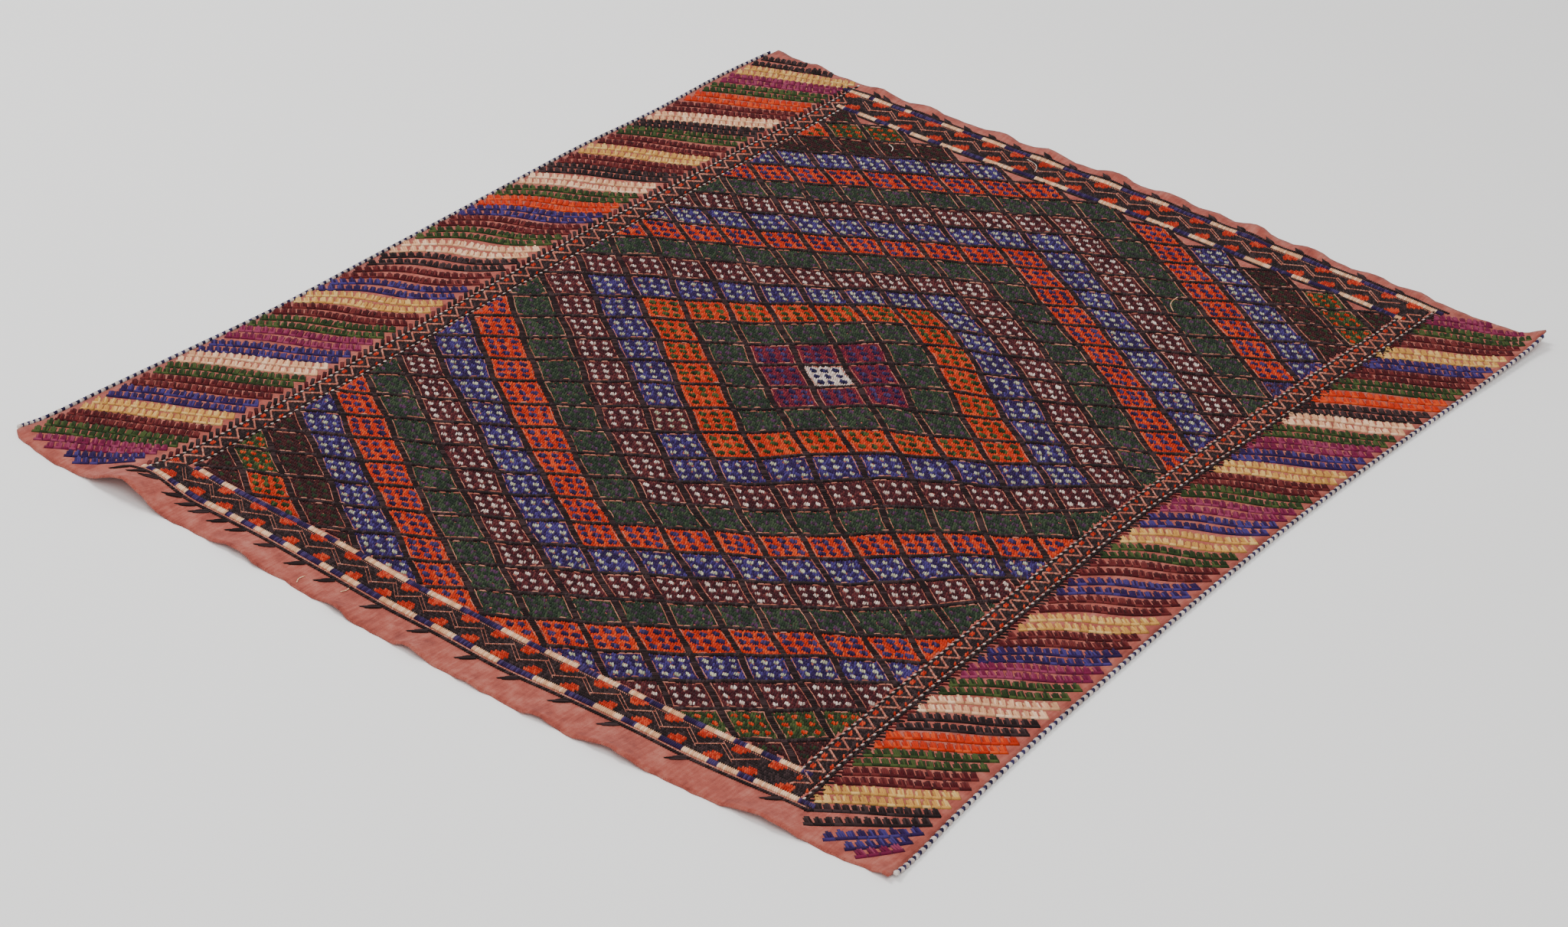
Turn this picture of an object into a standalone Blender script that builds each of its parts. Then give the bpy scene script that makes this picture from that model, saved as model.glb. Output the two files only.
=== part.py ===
"""Brocaded kilim rug lying on the floor: one wool flatweave cloth and its two bound selvedges.

Metres, +Z up. X runs across the rug's width, from the left selvedge to the right one, and Y
along its length, from the bottom end to the top end. The cloth's underside lies on z = 0, and
the origin is below the middle of the rug's bounding box.

The rug isn't square. Two short tables say where its edges, its twined lines and its barber-pole
ribs run, in millimetres, and a third says where its ends have lifted off the floor.
"""

import math
from collections import namedtuple

import bmesh
import bpy

MM = 0.001

# The cloth, and what stands up from its face.
CLOTH_THICKNESS = 3.0 * MM
RIB_WIDTH = 10.0 * MM
RIB_CROWN = 5.0 * MM
RIB_RAISE = 1.5 * MM
TWINE_WIDTH = 5.0 * MM
TWINE_RAISE = 0.8 * MM

# The overcast cord along each side.
SELVEDGE_DIAMETER = 6.0 * MM
SELVEDGE_GAP = 0.3 * MM
SELVEDGE_END_SETBACK = 7.0

# Middle of the tables' bounding box, which is moved to the origin.
TABLE_CENTRE_X = -2.3
TABLE_CENTRE_Y = -21.5

# Where the lines that run up the rug cross each height y.
Across = namedtuple("Across", "y left panel_left guard_left guard_right panel_right right")
ACROSS = (
    Across(-748, -615, -437, -415, 445, 475, 613),
    Across(-691, -608, -438, -413, 443, 472, 610),
    Across(-618, -606, -437, -411, 439, 465, 603),
    Across(-455, -601, -437, -413, 432, 458, 593),
    Across(-333, -598, -440, -415, 428, 454, 589),
    Across(-171, -602, -445, -420, 420, 447, 584),
    Across(-8, -607, -451, -424, 418, 441, 582),
    Across(114, -611, -454, -424, 419, 444, 582),
    Across(276, -616, -454, -426, 423, 450, 586),
    Across(439, -613, -454, -429, 429, 456, 593),
    Across(602, -618, -455, -431, 437, 463, 602),
    Across(732, -614, -459, -433, 439, 465, 608),
)

# Where the lines that run across the rug pass each place x.
Along = namedtuple("Along", "x bottom_end bottom_outer bottom_inner top_inner top_outer top_end")
ALONG = (
    Along(-612, -731, -702, -658, 631, 682, 722),
    Along(-585, -746, -702, -658, 631, 682, 719),
    Along(-520, -754, -702, -658, 631, 682, 714),
    Along(-447, -754, -702, -658, 631, 682, 714),
    Along(-398, -753, -702, -659, 632, 684, 713),
    Along(-317, -751, -701, -661, 632, 687, 715),
    Along(-236, -753, -703, -661, 635, 689, 719),
    Along(-154, -756, -707, -664, 639, 691, 719),
    Along(-73, -763, -712, -668, 642, 694, 721),
    Along(8, -765, -713, -668, 644, 696, 724),
    Along(89, -767, -716, -669, 645, 696, 724),
    Along(171, -767, -711, -667, 643, 695, 723),
    Along(252, -764, -708, -665, 641, 693, 720),
    Along(333, -759, -707, -662, 643, 692, 717),
    Along(415, -754, -701, -657, 639, 690, 716),
    Along(472, -749, -697, -655, 636, 687, 712),
    Along(537, -743, -697, -655, 636, 687, 713),
    Along(612, -739, -697, -655, 636, 687, 720),
)

# The same lines on a rug drawn square, which is where the grid of the cloth is laid out.
SQUARE_X = Across(0, -606, -447, -420, 428, 455, 597)
SQUARE_Y = Along(0, -755, -704, -662, 638, 690, 717)

# Waves that lift an edge off the floor: middle, half width along the edge, how far the lift
# reaches into the rug, and height at the edge.
Wave = namedtuple("Wave", "middle half_width depth height")
BOTTOM_WAVES = (
    Wave(-430, 72, 135, 25),
    Wave(-260, 56, 60, 8),
    Wave(-108, 32, 40, 7),
    Wave(0, 32, 40, 9),
    Wave(80, 28, 35, 4),
    Wave(173, 32, 40, 6),
    Wave(265, 60, 50, 9),
    Wave(447, 62, 60, 10),
    Wave(592, 26, 40, 6),
)
TOP_WAVES = (
    Wave(-520, 28, 35, 5),
    Wave(-409, 36, 40, 6),
    Wave(-332, 34, 40, 6),
    Wave(-210, 32, 40, 5),
    Wave(-134, 38, 45, 7),
    Wave(-36, 40, 45, 8),
    Wave(50, 44, 45, 6),
    Wave(118, 28, 35, 4),
    Wave(180, 34, 45, 9),
    Wave(262, 36, 40, 7),
    Wave(354, 32, 35, 4),
    Wave(418, 30, 35, 4),
    Wave(600, 36, 60, 9),
)
RIGHT_WAVES = (Wave(717, 250, 70, 6),)


def smooth_between(rows, name, at):
    """Read one column of a table at a place between its rows, along a smooth curve."""
    keys = [row[0] for row in rows]
    values = [getattr(row, name) for row in rows]
    last = len(rows) - 1
    at = min(max(at, keys[0]), keys[last])
    low = max(k for k in range(last) if keys[k] <= at)
    high = low + 1

    def slope(k):
        before, after = max(k - 1, 0), min(k + 1, last)
        return (values[after] - values[before]) / (keys[after] - keys[before])

    span = keys[high] - keys[low]
    f = (at - keys[low]) / span
    return (
        (1 + 2 * f) * (1 - f) ** 2 * values[low]
        + f * (1 - f) ** 2 * span * slope(low)
        + f * f * (3 - 2 * f) * values[high]
        + f * f * (f - 1) * span * slope(high)
    )


def carried(square, real, at):
    """Carry a place on the square rug to the real one, straight between neighbouring lines."""
    k = max(i for i in range(len(square) - 1) if i == 0 or square[i] <= at)
    share = (at - square[k]) / (square[k + 1] - square[k])
    return real[k] + share * (real[k + 1] - real[k])


def real_x(x, y, inset=0.0):
    """Real x of a place on the square rug. The cloth's own sides are inset from the cords."""
    real = [smooth_between(ACROSS, name, y) for name in Across._fields[1:]]
    real[0] += inset
    real[-1] -= inset
    return carried(SQUARE_X[1:], real, x)


def real_y(x, y):
    """Real y of a place on the square rug."""
    real = [smooth_between(ALONG, name, x) for name in Along._fields[1:]]
    return carried(SQUARE_Y[1:], real, y)


def wave_lift(waves, along, inward):
    """Height of an edge's waves at a place along the edge and a distance inside it."""
    height = 0.0
    for wave in waves:
        off = abs(along - wave.middle) / wave.half_width
        if off < 1 and inward < wave.depth:
            height += wave.height * math.cos(off * math.pi / 2) ** 2 * (1 - inward / wave.depth) ** 2
    return height


def lift(x, y):
    """Height of the underside above the floor at a place on the square rug."""
    return (
        wave_lift(BOTTOM_WAVES, x, y - SQUARE_Y.bottom_end)
        + wave_lift(TOP_WAVES, x, SQUARE_Y.top_end - y)
        + wave_lift(RIGHT_WAVES, y, SQUARE_X.right - x)
    )


def placed(x, y, z=0.0, inset=0.0):
    """World position of a place on the square rug, z metres above its underside."""
    return (
        (real_x(x, y, inset) - TABLE_CENTRE_X) * MM,
        (real_y(x, y) - TABLE_CENTRE_Y) * MM,
        lift(x, y) * MM + z,
    )


def steps(start, stop, count):
    """Evenly spaced places from start up to, but not including, stop."""
    return [start + (stop - start) * k / count for k in range(count)]


def cloth_columns():
    """Places across the rug where the grid has a line: three on each twined line."""
    half = TWINE_WIDTH / MM / 2
    panel_left, guard_left, guard_right, panel_right = SQUARE_X[2:6]
    places = steps(SQUARE_X.left, panel_left - half, 6)
    places += [panel_left - half, panel_left, panel_left + half]
    places += [(panel_left + guard_left) / 2]
    places += [guard_left - half, guard_left]
    places += steps(guard_left + half, guard_right - half, 36)
    places += [guard_right - half, guard_right, guard_right + half]
    places += [(guard_right + panel_right) / 2]
    places += [panel_right - half, panel_right]
    places += steps(panel_right + half, SQUARE_X.right, 6)
    return places + [SQUARE_X.right]


def rib_rows(middle):
    """Four grid lines of one rib: its two feet and the two sides of its crown."""
    foot, crown = RIB_WIDTH / MM / 2, RIB_CROWN / MM / 2
    return [middle - foot, middle - crown, middle + crown, middle + foot]


def cloth_rows():
    """Places along the rug where the grid has a line: four on each rib, closer at the ends."""
    foot = RIB_WIDTH / MM / 2
    bottom_end, bottom_outer, bottom_inner, top_inner, top_outer, top_end = SQUARE_Y[1:]
    places = [bottom_end, bottom_end + SELVEDGE_END_SETBACK, bottom_end + 25]
    places += rib_rows(bottom_outer) + [(bottom_outer + bottom_inner) / 2] + rib_rows(bottom_inner)
    places += steps(bottom_inner + foot + 30, top_inner - foot, 11)
    places += rib_rows(top_inner) + [(top_inner + top_outer) / 2] + rib_rows(top_outer)
    return places + [top_end - SELVEDGE_END_SETBACK, top_end]


def face_raise(x, y):
    """How far the ribs and the twined lines stand above the cloth's face."""
    half_crown = RIB_CROWN / MM / 2 + 0.1
    outer = SQUARE_X.panel_left - 0.1 <= x <= SQUARE_X.panel_right + 0.1
    inner = SQUARE_X.guard_left - 0.1 <= x <= SQUARE_X.guard_right + 0.1
    on_outer = min(abs(y - SQUARE_Y.bottom_outer), abs(y - SQUARE_Y.top_outer)) < half_crown
    on_inner = min(abs(y - SQUARE_Y.bottom_inner), abs(y - SQUARE_Y.top_inner)) < half_crown
    if (outer and on_outer) or (inner and on_inner):
        return RIB_RAISE
    between_ribs = SQUARE_Y.bottom_outer < y < SQUARE_Y.top_outer
    on_twine = min(abs(x - place) for place in SQUARE_X[2:6]) < 0.1
    return TWINE_RAISE if between_ribs and on_twine else 0.0


def yarn_material(name, colour, roughness):
    """A plain wool material, the colour given as linear red, green and blue."""
    material = bpy.data.materials.new(name)
    material.use_nodes = True
    shader = material.node_tree.nodes["Principled BSDF"]
    shader.inputs["Base Color"].default_value = (*colour, 1.0)
    shader.inputs["Roughness"].default_value = roughness
    shader.inputs["Metallic"].default_value = 0.0
    return material


def make_cloth(collection, material):
    """The cloth: a grid laid as the underside and thickened upwards, more on ribs and lines."""
    columns, rows = cloth_columns(), cloth_rows()
    full = CLOTH_THICKNESS + RIB_RAISE
    bm = bmesh.new()
    bmesh.ops.create_grid(bm, x_segments=len(columns) - 1, y_segments=len(rows) - 1, size=0.5)
    weights = bm.verts.layers.deform.new()
    for vert in bm.verts:
        x = columns[round((vert.co.x + 0.5) * (len(columns) - 1))]
        y = rows[round((vert.co.y + 0.5) * (len(rows) - 1))]
        vert[weights][0] = (CLOTH_THICKNESS + face_raise(x, y)) / full
        inset = (SELVEDGE_DIAMETER / 2 + SELVEDGE_GAP) / MM
        vert.co = placed(x, y, inset=inset)
    mesh = bpy.data.meshes.new("kilim_cloth")
    bm.to_mesh(mesh)
    bm.free()
    mesh.materials.append(material)
    cloth = bpy.data.objects.new("kilim_cloth", mesh)
    collection.objects.link(cloth)
    cloth.vertex_groups.new(name="thickness")
    solid = cloth.modifiers.new("thickness", "SOLIDIFY")
    solid.thickness = full
    solid.offset = 1.0
    solid.vertex_group = "thickness"
    return cloth


def make_selvedge(collection, name, x, material):
    """One side's overcast cord, lying against the cloth's edge and rising with its waves."""
    radius = SELVEDGE_DIAMETER / 2
    curve = bpy.data.curves.new(name, "CURVE")
    curve.dimensions = "3D"
    curve.bevel_depth = radius
    curve.bevel_resolution = 2
    curve.use_fill_caps = True
    places = [placed(x, y, z=radius) for y in cloth_rows()[1:-1]]
    spline = curve.splines.new("POLY")
    spline.points.add(len(places) - 1)
    for point, place in zip(spline.points, places):
        point.co = (*place, 1.0)
    curve.materials.append(material)
    cord = bpy.data.objects.new(name, curve)
    collection.objects.link(cord)
    return cord


def main():
    """Build the rug in its own collection."""
    for thing in list(bpy.data.objects):
        bpy.data.objects.remove(thing, do_unlink=True)
    collection = bpy.data.collections.new("kilim_rug")
    bpy.context.scene.collection.children.link(collection)
    ground = yarn_material("salmon wool ground", (0.48, 0.17, 0.12), 0.9)
    overcast = yarn_material("cream and violet wool overcast", (0.52, 0.44, 0.38), 0.85)
    make_cloth(collection, ground)
    make_selvedge(collection, "selvedge_left", SQUARE_X.left, overcast)
    make_selvedge(collection, "selvedge_right", SQUARE_X.right, overcast)


if __name__ == "__main__":
    main()
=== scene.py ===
"""Looks of a brocaded kilim rug that lies on a pale floor.

The ground is one salmon wool flatweave. Everything on its face is laid stitch by stitch, as the
weaver wraps it: a field of diamonds in rings of one colour, a guard and a striped comb panel
along each side, barber-pole ribs with a band of triangles at each end, and an overcast cord on
each edge. The rug isn't square, so one plan carries each place of the square drawing to the real
cloth, and every piece is placed through it.

Two measures are used. The plan's tables are in millimetres, as in the CAD source. The charts of
stripes, ribs and triangles are in chart units of 0.813 mm, x to the right and y down.
"""

from __future__ import annotations

import sys

import itertools
import logging
import math
from dataclasses import dataclass, field
from enum import Enum
from functools import partial
from typing import Any, Callable, NamedTuple, Sequence

import bpy
import numpy as np
from mathutils import Matrix, Vector


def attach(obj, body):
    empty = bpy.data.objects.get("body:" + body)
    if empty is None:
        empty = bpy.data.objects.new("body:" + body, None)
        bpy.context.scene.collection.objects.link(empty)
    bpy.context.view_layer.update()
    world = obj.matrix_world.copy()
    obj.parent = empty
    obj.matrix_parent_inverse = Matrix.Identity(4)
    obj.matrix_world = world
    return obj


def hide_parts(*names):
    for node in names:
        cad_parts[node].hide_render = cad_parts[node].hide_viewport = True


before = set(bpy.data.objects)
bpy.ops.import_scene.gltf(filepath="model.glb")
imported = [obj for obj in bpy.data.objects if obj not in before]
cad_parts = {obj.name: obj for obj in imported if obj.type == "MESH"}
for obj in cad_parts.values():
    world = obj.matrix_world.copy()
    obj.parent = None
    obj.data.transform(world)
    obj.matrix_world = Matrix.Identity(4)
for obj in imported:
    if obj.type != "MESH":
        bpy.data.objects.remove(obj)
log = logging.getLogger("kilim")

Row = np.ndarray  # one number for each place or stitch
Places = tuple[Row, Row]  # numbers across the rug, and numbers up it
Socket = bpy.types.NodeSocket
Inputs = dict[str | int, Any]  # a node's sockets by name or place, each with what it is given
Adder = Callable[..., Any]  # add_node, bound to one tree

NOISE = "ShaderNodeTexNoise"
RAMP = "ShaderNodeValToRGB"
MATHS = "ShaderNodeMath"
COMBINE = "ShaderNodeCombineXYZ"
SWITCH = "GeometryNodeSwitch"
SET_PLACE = "GeometryNodeSetPosition"
ALIGN = "FunctionNodeAlignRotationToVector"

MM = 0.001
CHART_UNIT = 0.813
CHART_MIDDLE_X = 790.0
CHART_MIDDLE_Y = 940.0
SLANT = 118.0  # degrees: the brocade's stitches lean to the left as they go up the rug


class Across(NamedTuple):
    """Where the lines that run up the rug cross one height y, in millimetres."""

    y: float
    left: float
    panel_left: float
    guard_left: float
    guard_right: float
    panel_right: float
    right: float


class Along(NamedTuple):
    """Where the lines that run across the rug pass one place x, in millimetres."""

    x: float
    bottom_end: float
    bottom_outer: float
    bottom_inner: float
    top_inner: float
    top_outer: float
    top_end: float


class UpRow(NamedTuple):
    """A row of stitches up the drawing: its line, where it starts and stops, and its pitch."""

    line: float
    start: float
    stop: float
    pitch: float


class Wave(NamedTuple):
    """A wave that lifts an edge: middle, half width, reach into the rug, height at the edge."""

    middle: float
    half_width: float
    depth: float
    height: float


ACROSS = (
    Across(-748, -615, -437, -415, 445, 475, 613),
    Across(-691, -608, -438, -413, 443, 472, 610),
    Across(-618, -606, -437, -411, 439, 465, 603),
    Across(-455, -601, -437, -413, 432, 458, 593),
    Across(-333, -598, -440, -415, 428, 454, 589),
    Across(-171, -602, -445, -420, 420, 447, 584),
    Across(-8, -607, -451, -424, 418, 441, 582),
    Across(114, -611, -454, -424, 419, 444, 582),
    Across(276, -616, -454, -426, 423, 450, 586),
    Across(439, -613, -454, -429, 429, 456, 593),
    Across(602, -618, -455, -431, 437, 463, 602),
    Across(732, -614, -459, -433, 439, 465, 608),
)
ALONG = (
    Along(-612, -731, -702, -658, 631, 682, 722),
    Along(-585, -746, -702, -658, 631, 682, 719),
    Along(-520, -754, -702, -658, 631, 682, 714),
    Along(-447, -754, -702, -658, 631, 682, 714),
    Along(-398, -753, -702, -659, 632, 684, 713),
    Along(-317, -751, -701, -661, 632, 687, 715),
    Along(-236, -753, -703, -661, 635, 689, 719),
    Along(-154, -756, -707, -664, 639, 691, 719),
    Along(-73, -763, -712, -668, 642, 694, 721),
    Along(8, -765, -713, -668, 644, 696, 724),
    Along(89, -767, -716, -669, 645, 696, 724),
    Along(171, -767, -711, -667, 643, 695, 723),
    Along(252, -764, -708, -665, 641, 693, 720),
    Along(333, -759, -707, -662, 643, 692, 717),
    Along(415, -754, -701, -657, 639, 690, 716),
    Along(472, -749, -697, -655, 636, 687, 712),
    Along(537, -743, -697, -655, 636, 687, 713),
    Along(612, -739, -697, -655, 636, 687, 720),
)
SQUARE_X = Across(0, -606, -447, -420, 428, 455, 597)
SQUARE_Y = Along(0, -755, -704, -662, 638, 690, 717)
LINES_X = np.array(SQUARE_X[1:], float)
LINES_Y = np.array(SQUARE_Y[1:], float)
BOTTOM_WAVES = (
    Wave(-430, 72, 135, 25), Wave(-260, 56, 60, 8), Wave(-108, 32, 40, 7), Wave(0, 32, 40, 9),
    Wave(80, 28, 35, 4), Wave(173, 32, 40, 6), Wave(265, 60, 50, 9), Wave(447, 62, 60, 10),
    Wave(592, 26, 40, 6),
)
TOP_WAVES = (
    Wave(-520, 28, 35, 5), Wave(-409, 36, 40, 6), Wave(-332, 34, 40, 6), Wave(-210, 32, 40, 5),
    Wave(-134, 38, 45, 7), Wave(-36, 40, 45, 8), Wave(50, 44, 45, 6), Wave(118, 28, 35, 4),
    Wave(180, 34, 45, 9), Wave(262, 36, 40, 7), Wave(354, 32, 35, 4), Wave(418, 30, 35, 4),
    Wave(600, 36, 60, 9),
)
RIGHT_WAVES = (Wave(717, 250, 70, 6),)


class Yarn(Enum):
    """The rug's yarns. The value is the letter that the charts use."""

    BLACK = "K"
    WHITE = "W"
    CREAM = "C"
    MAGENTA = "M"
    GREEN = "G"
    ORANGE = "O"
    MAROON = "R"
    BLUE = "B"
    CRIMSON = "c"
    FOREST = "f"
    WINE = "w"
    DARK_WINE = "d"
    VIOLET = "v"
    PALE_YELLOW = "y"
    NAVY = "n"
    ROSE = "p"
    RED_ORANGE = "o"
    PLUM = "P"
    MOSS = "m"
    ECRU = "e"
    ASH = "a"


class StitchShape(Enum):
    """How a stitch is modelled: a low hipped ridge, or a rounded one of 20 faces."""

    RIDGE = 0
    ROUND = 1


class Stitch(NamedTuple):
    """A stitch's size and its foot's rise above the cloth's face, in millimetres.

    Each is one number, or a row with a number for each stitch.
    """

    length: Any
    width: Any
    height: Any
    rise: Any = 0.0


def hex_colour(code: str) -> tuple[float, float, float, float]:
    """Turn an sRGB hex value into Blender's linear colour.

    Args:
        code: Six hex digits with a leading hash.

    Returns:
        Linear red, green, blue and an alpha of one.
    """
    parts = [int(code[k : k + 2], 16) / 255 for k in (1, 3, 5)]
    linear = [p / 12.92 if p <= 0.04045 else ((p + 0.055) / 1.055) ** 2.4 for p in parts]
    return (linear[0], linear[1], linear[2], 1.0)


def fill_inputs(node: bpy.types.Node, inputs: Inputs) -> None:
    """Fill or link a node's inputs.

    Args:
        node: The node.
        inputs: A value or another node's output for each.
    """
    for key, value in inputs.items():
        named = (s for s in node.inputs if s.name == key and s.enabled)
        socket = node.inputs[key] if isinstance(key, int) else next(named)
        if isinstance(value, Socket):
            node.id_data.links.new(value, socket)
        else:
            socket.default_value = value


def add_node(
    tree: bpy.types.NodeTree,
    kind: str,
    inputs: Inputs | None = None,
    stops: Sequence[tuple[float, str]] = (),
    **settings: Any,
) -> Socket | None:
    """Add a node with its settings and links.

    Args:
        tree: The node tree that it goes into.
        kind: The node's type name.
        inputs: A value or another node's output for each input.
        stops: Places and sRGB hex values along its colour ramp.
        settings: Its properties by name.

    Returns:
        The first of its outputs that is in use, if it has one.
    """
    node = tree.nodes.new(kind)
    for name, value in settings.items():
        setattr(node, name, value)
    if stops:
        ramp = node.color_ramp.elements
        ramp[0].position, ramp[1].position = stops[0][0], stops[-1][0]
        for place, _ in stops[1:-1]:
            ramp.new(place)
        for element, (_, code) in zip(ramp, stops):
            element.color = hex_colour(code)
    fill_inputs(node, inputs or {})
    return next((s for s in node.outputs if s.enabled), None)


def add_object(name: str, data: Any) -> bpy.types.Object:
    """Put a new object into the scene.

    Args:
        name: Its name.
        data: Its mesh, camera or light.

    Returns:
        The object.
    """
    made = bpy.data.objects.new(name, data)
    bpy.context.scene.collection.objects.link(made)
    return made


def smooth_through(keys: Row, values: np.ndarray, at: Row) -> Row:
    """Read a smooth curve through keyed values.

    Args:
        keys: The rising places of the n values.
        values: n values, or n rows with one value for each place asked for.
        at: The places asked for.

    Returns:
        The curve's value at each place.
    """
    count = len(keys)
    rows = np.broadcast_to(values if values.ndim == 2 else values[:, None], (count, at.size))
    order = np.arange(count)
    before, after = np.maximum(order - 1, 0), np.minimum(order + 1, count - 1)
    slopes = (rows[after] - rows[before]) / (keys[after] - keys[before])[:, None]
    at = np.clip(at, keys[0], keys[-1])
    low = np.clip(np.searchsorted(keys, at, side="right") - 1, 0, count - 2)
    span = keys[low + 1] - keys[low]
    f = (at - keys[low]) / span
    pick = np.arange(at.size)
    return (
        (1 + 2 * f) * (1 - f) ** 2 * rows[low, pick]
        + f * (1 - f) ** 2 * span * slopes[low, pick]
        + f * f * (3 - 2 * f) * rows[low + 1, pick]
        + f * f * (f - 1) * span * slopes[low + 1, pick]
    )


def read_columns(table: Sequence[Any], at: Row) -> np.ndarray:
    """Read every column of a table but its first, which keys the rows, at each place."""
    data = np.array(table, float)
    return np.stack([smooth_through(data[:, 0], column, at) for column in data[:, 1:].T])


def carried(knots: np.ndarray, targets: np.ndarray, at: Row) -> Row:
    """Carry places from one set of lines to another, straight between neighbours.

    Args:
        knots: The lines' places, n or n by one for each place.
        targets: Where those lines are carried to, in the same form.
        at: The places.

    Returns:
        The carried places.
    """
    shape = (len(knots), at.size)
    knots, targets = (
        np.broadcast_to(lines if lines.ndim == 2 else lines[:, None], shape)
        for lines in (knots, targets)
    )
    k = np.clip((knots[1:-1] <= at).sum(axis=0), 0, shape[0] - 2)
    pick = np.arange(at.size)
    share = (at - knots[k, pick]) / (knots[k + 1, pick] - knots[k, pick])
    return targets[k, pick] + share * (targets[k + 1, pick] - targets[k, pick])


def chart_x(u: Any) -> Row:
    """Millimetres across the rug of a place in chart units."""
    return (np.asarray(u, float) - CHART_MIDDLE_X) * CHART_UNIT


def chart_y(v: Any) -> Row:
    """Millimetres up the rug of a place in chart units."""
    return (CHART_MIDDLE_Y - np.asarray(v, float)) * CHART_UNIT


def heading_along(x: Row, y: Row) -> Row:
    """Heading in degrees at each place of a row."""
    return np.degrees(np.arctan2(np.gradient(y), np.gradient(x)))


def crossed(steps: Row, rows: Row) -> Places:
    """Every step of every row, as two long rows."""
    across, up = np.meshgrid(steps, rows)
    return across.ravel(), up.ravel()


@dataclass(frozen=True)
class RugPlan:
    """Carries places between the square drawing, the real cloth and the world."""

    thickness: float = 3.0
    centre_x: float = -2.3
    centre_y: float = -21.5

    def real(self, x: Row, y: Row) -> Places:
        """Real millimetres of places on the square drawing."""
        return (
            carried(LINES_X, read_columns(ACROSS, y), x),
            carried(LINES_Y, read_columns(ALONG, x), y),
        )

    def square(self, x: Row, y: Row) -> Places:
        """Find places on the square drawing, in a few steps.

        Args:
            x: Real millimetres across the rug.
            y: Real millimetres up the rug.

        Returns:
            The places on the drawing.
        """
        sx, sy = x, y
        for _ in range(5):
            nx = carried(read_columns(ACROSS, sy), LINES_X, x)
            sx, sy = nx, carried(read_columns(ALONG, sx), LINES_Y, y)
        return sx, sy

    def lift(self, x: Row, y: Row) -> Row:
        """Find the height of the underside.

        Args:
            x: Places across the square drawing.
            y: Places up the square drawing.

        Returns:
            The height at each place in millimetres.
        """
        height = np.zeros_like(x)
        for waves, along, inward in (
            (BOTTOM_WAVES, x, y - SQUARE_Y.bottom_end),
            (TOP_WAVES, x, SQUARE_Y.top_end - y),
            (RIGHT_WAVES, y, SQUARE_X.right - x),
        ):
            for wave in waves:
                off = np.minimum(np.abs(along - wave.middle) / wave.half_width, 1)
                inside = np.clip(1 - inward / wave.depth, 0, None)
                height += wave.height * np.cos(off * math.pi / 2) ** 2 * inside**2
        return height

    def points(self, x: Row, y: Row, z: Row) -> np.ndarray:
        """World places in metres of real places, z millimetres above the floor."""
        return np.stack([x - self.centre_x, y - self.centre_y, z], axis=1) * MM

    def normals(self, x: Row, y: Row) -> np.ndarray:
        """Find which way the face looks.

        Args:
            x: Real millimetres across the rug.
            y: Real millimetres up the rug.

        Returns:
            The face's normal at each place.
        """
        here = self.lift(*self.square(x, y))
        slope_x = self.lift(*self.square(x + 1, y)) - here
        slope_y = self.lift(*self.square(x, y + 1)) - here
        normal = np.stack([-slope_x, -slope_y, np.ones_like(here)], axis=1)
        return normal / np.linalg.norm(normal, axis=1, keepdims=True)

    def across_line(self, square_y: float, low: float, high: float, pitch: float) -> Places:
        """Real places, evenly spaced on the drawing, along one line that runs across it."""
        sx = np.arange(low, high, pitch)
        return self.real(sx, np.full_like(sx, square_y))

    def up_line(
        self, square_x: float, low: float, high: float, pitch: float
    ) -> tuple[Row, Row, Row]:
        """Space places evenly up one line of the drawing.

        Args:
            square_x: The line's place on the drawing.
            low: Where it starts.
            high: Where it ends.
            pitch: Spacing.

        Returns:
            Real x, real y, and the line's heading in degrees at each place.
        """
        sy = np.arange(low, high, pitch)
        sx = np.full_like(sy, square_x)
        x, y = self.real(sx, sy)
        ahead_x, ahead_y = self.real(sx, sy + 1)
        return x, y, np.degrees(np.arctan2(ahead_y - y, ahead_x - x))


@dataclass(frozen=True)
class Finish:
    """A material, named for what it is made of."""

    name: str

    def shader_inputs(self, add: Adder, place: Socket) -> Inputs:
        """What the shader's inputs are given, which each finish says for itself."""
        raise NotImplementedError

    def make(self) -> bpy.types.Material:
        """Build the material.

        Returns:
            The finished material.
        """
        material = bpy.data.materials.new(self.name)
        material.use_nodes = True
        tree = material.node_tree
        add = partial(add_node, tree)
        place = add("ShaderNodeTexCoord").node.outputs["Object"]
        fill_inputs(tree.nodes["Principled BSDF"], self.shader_inputs(add, place))
        return material


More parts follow.
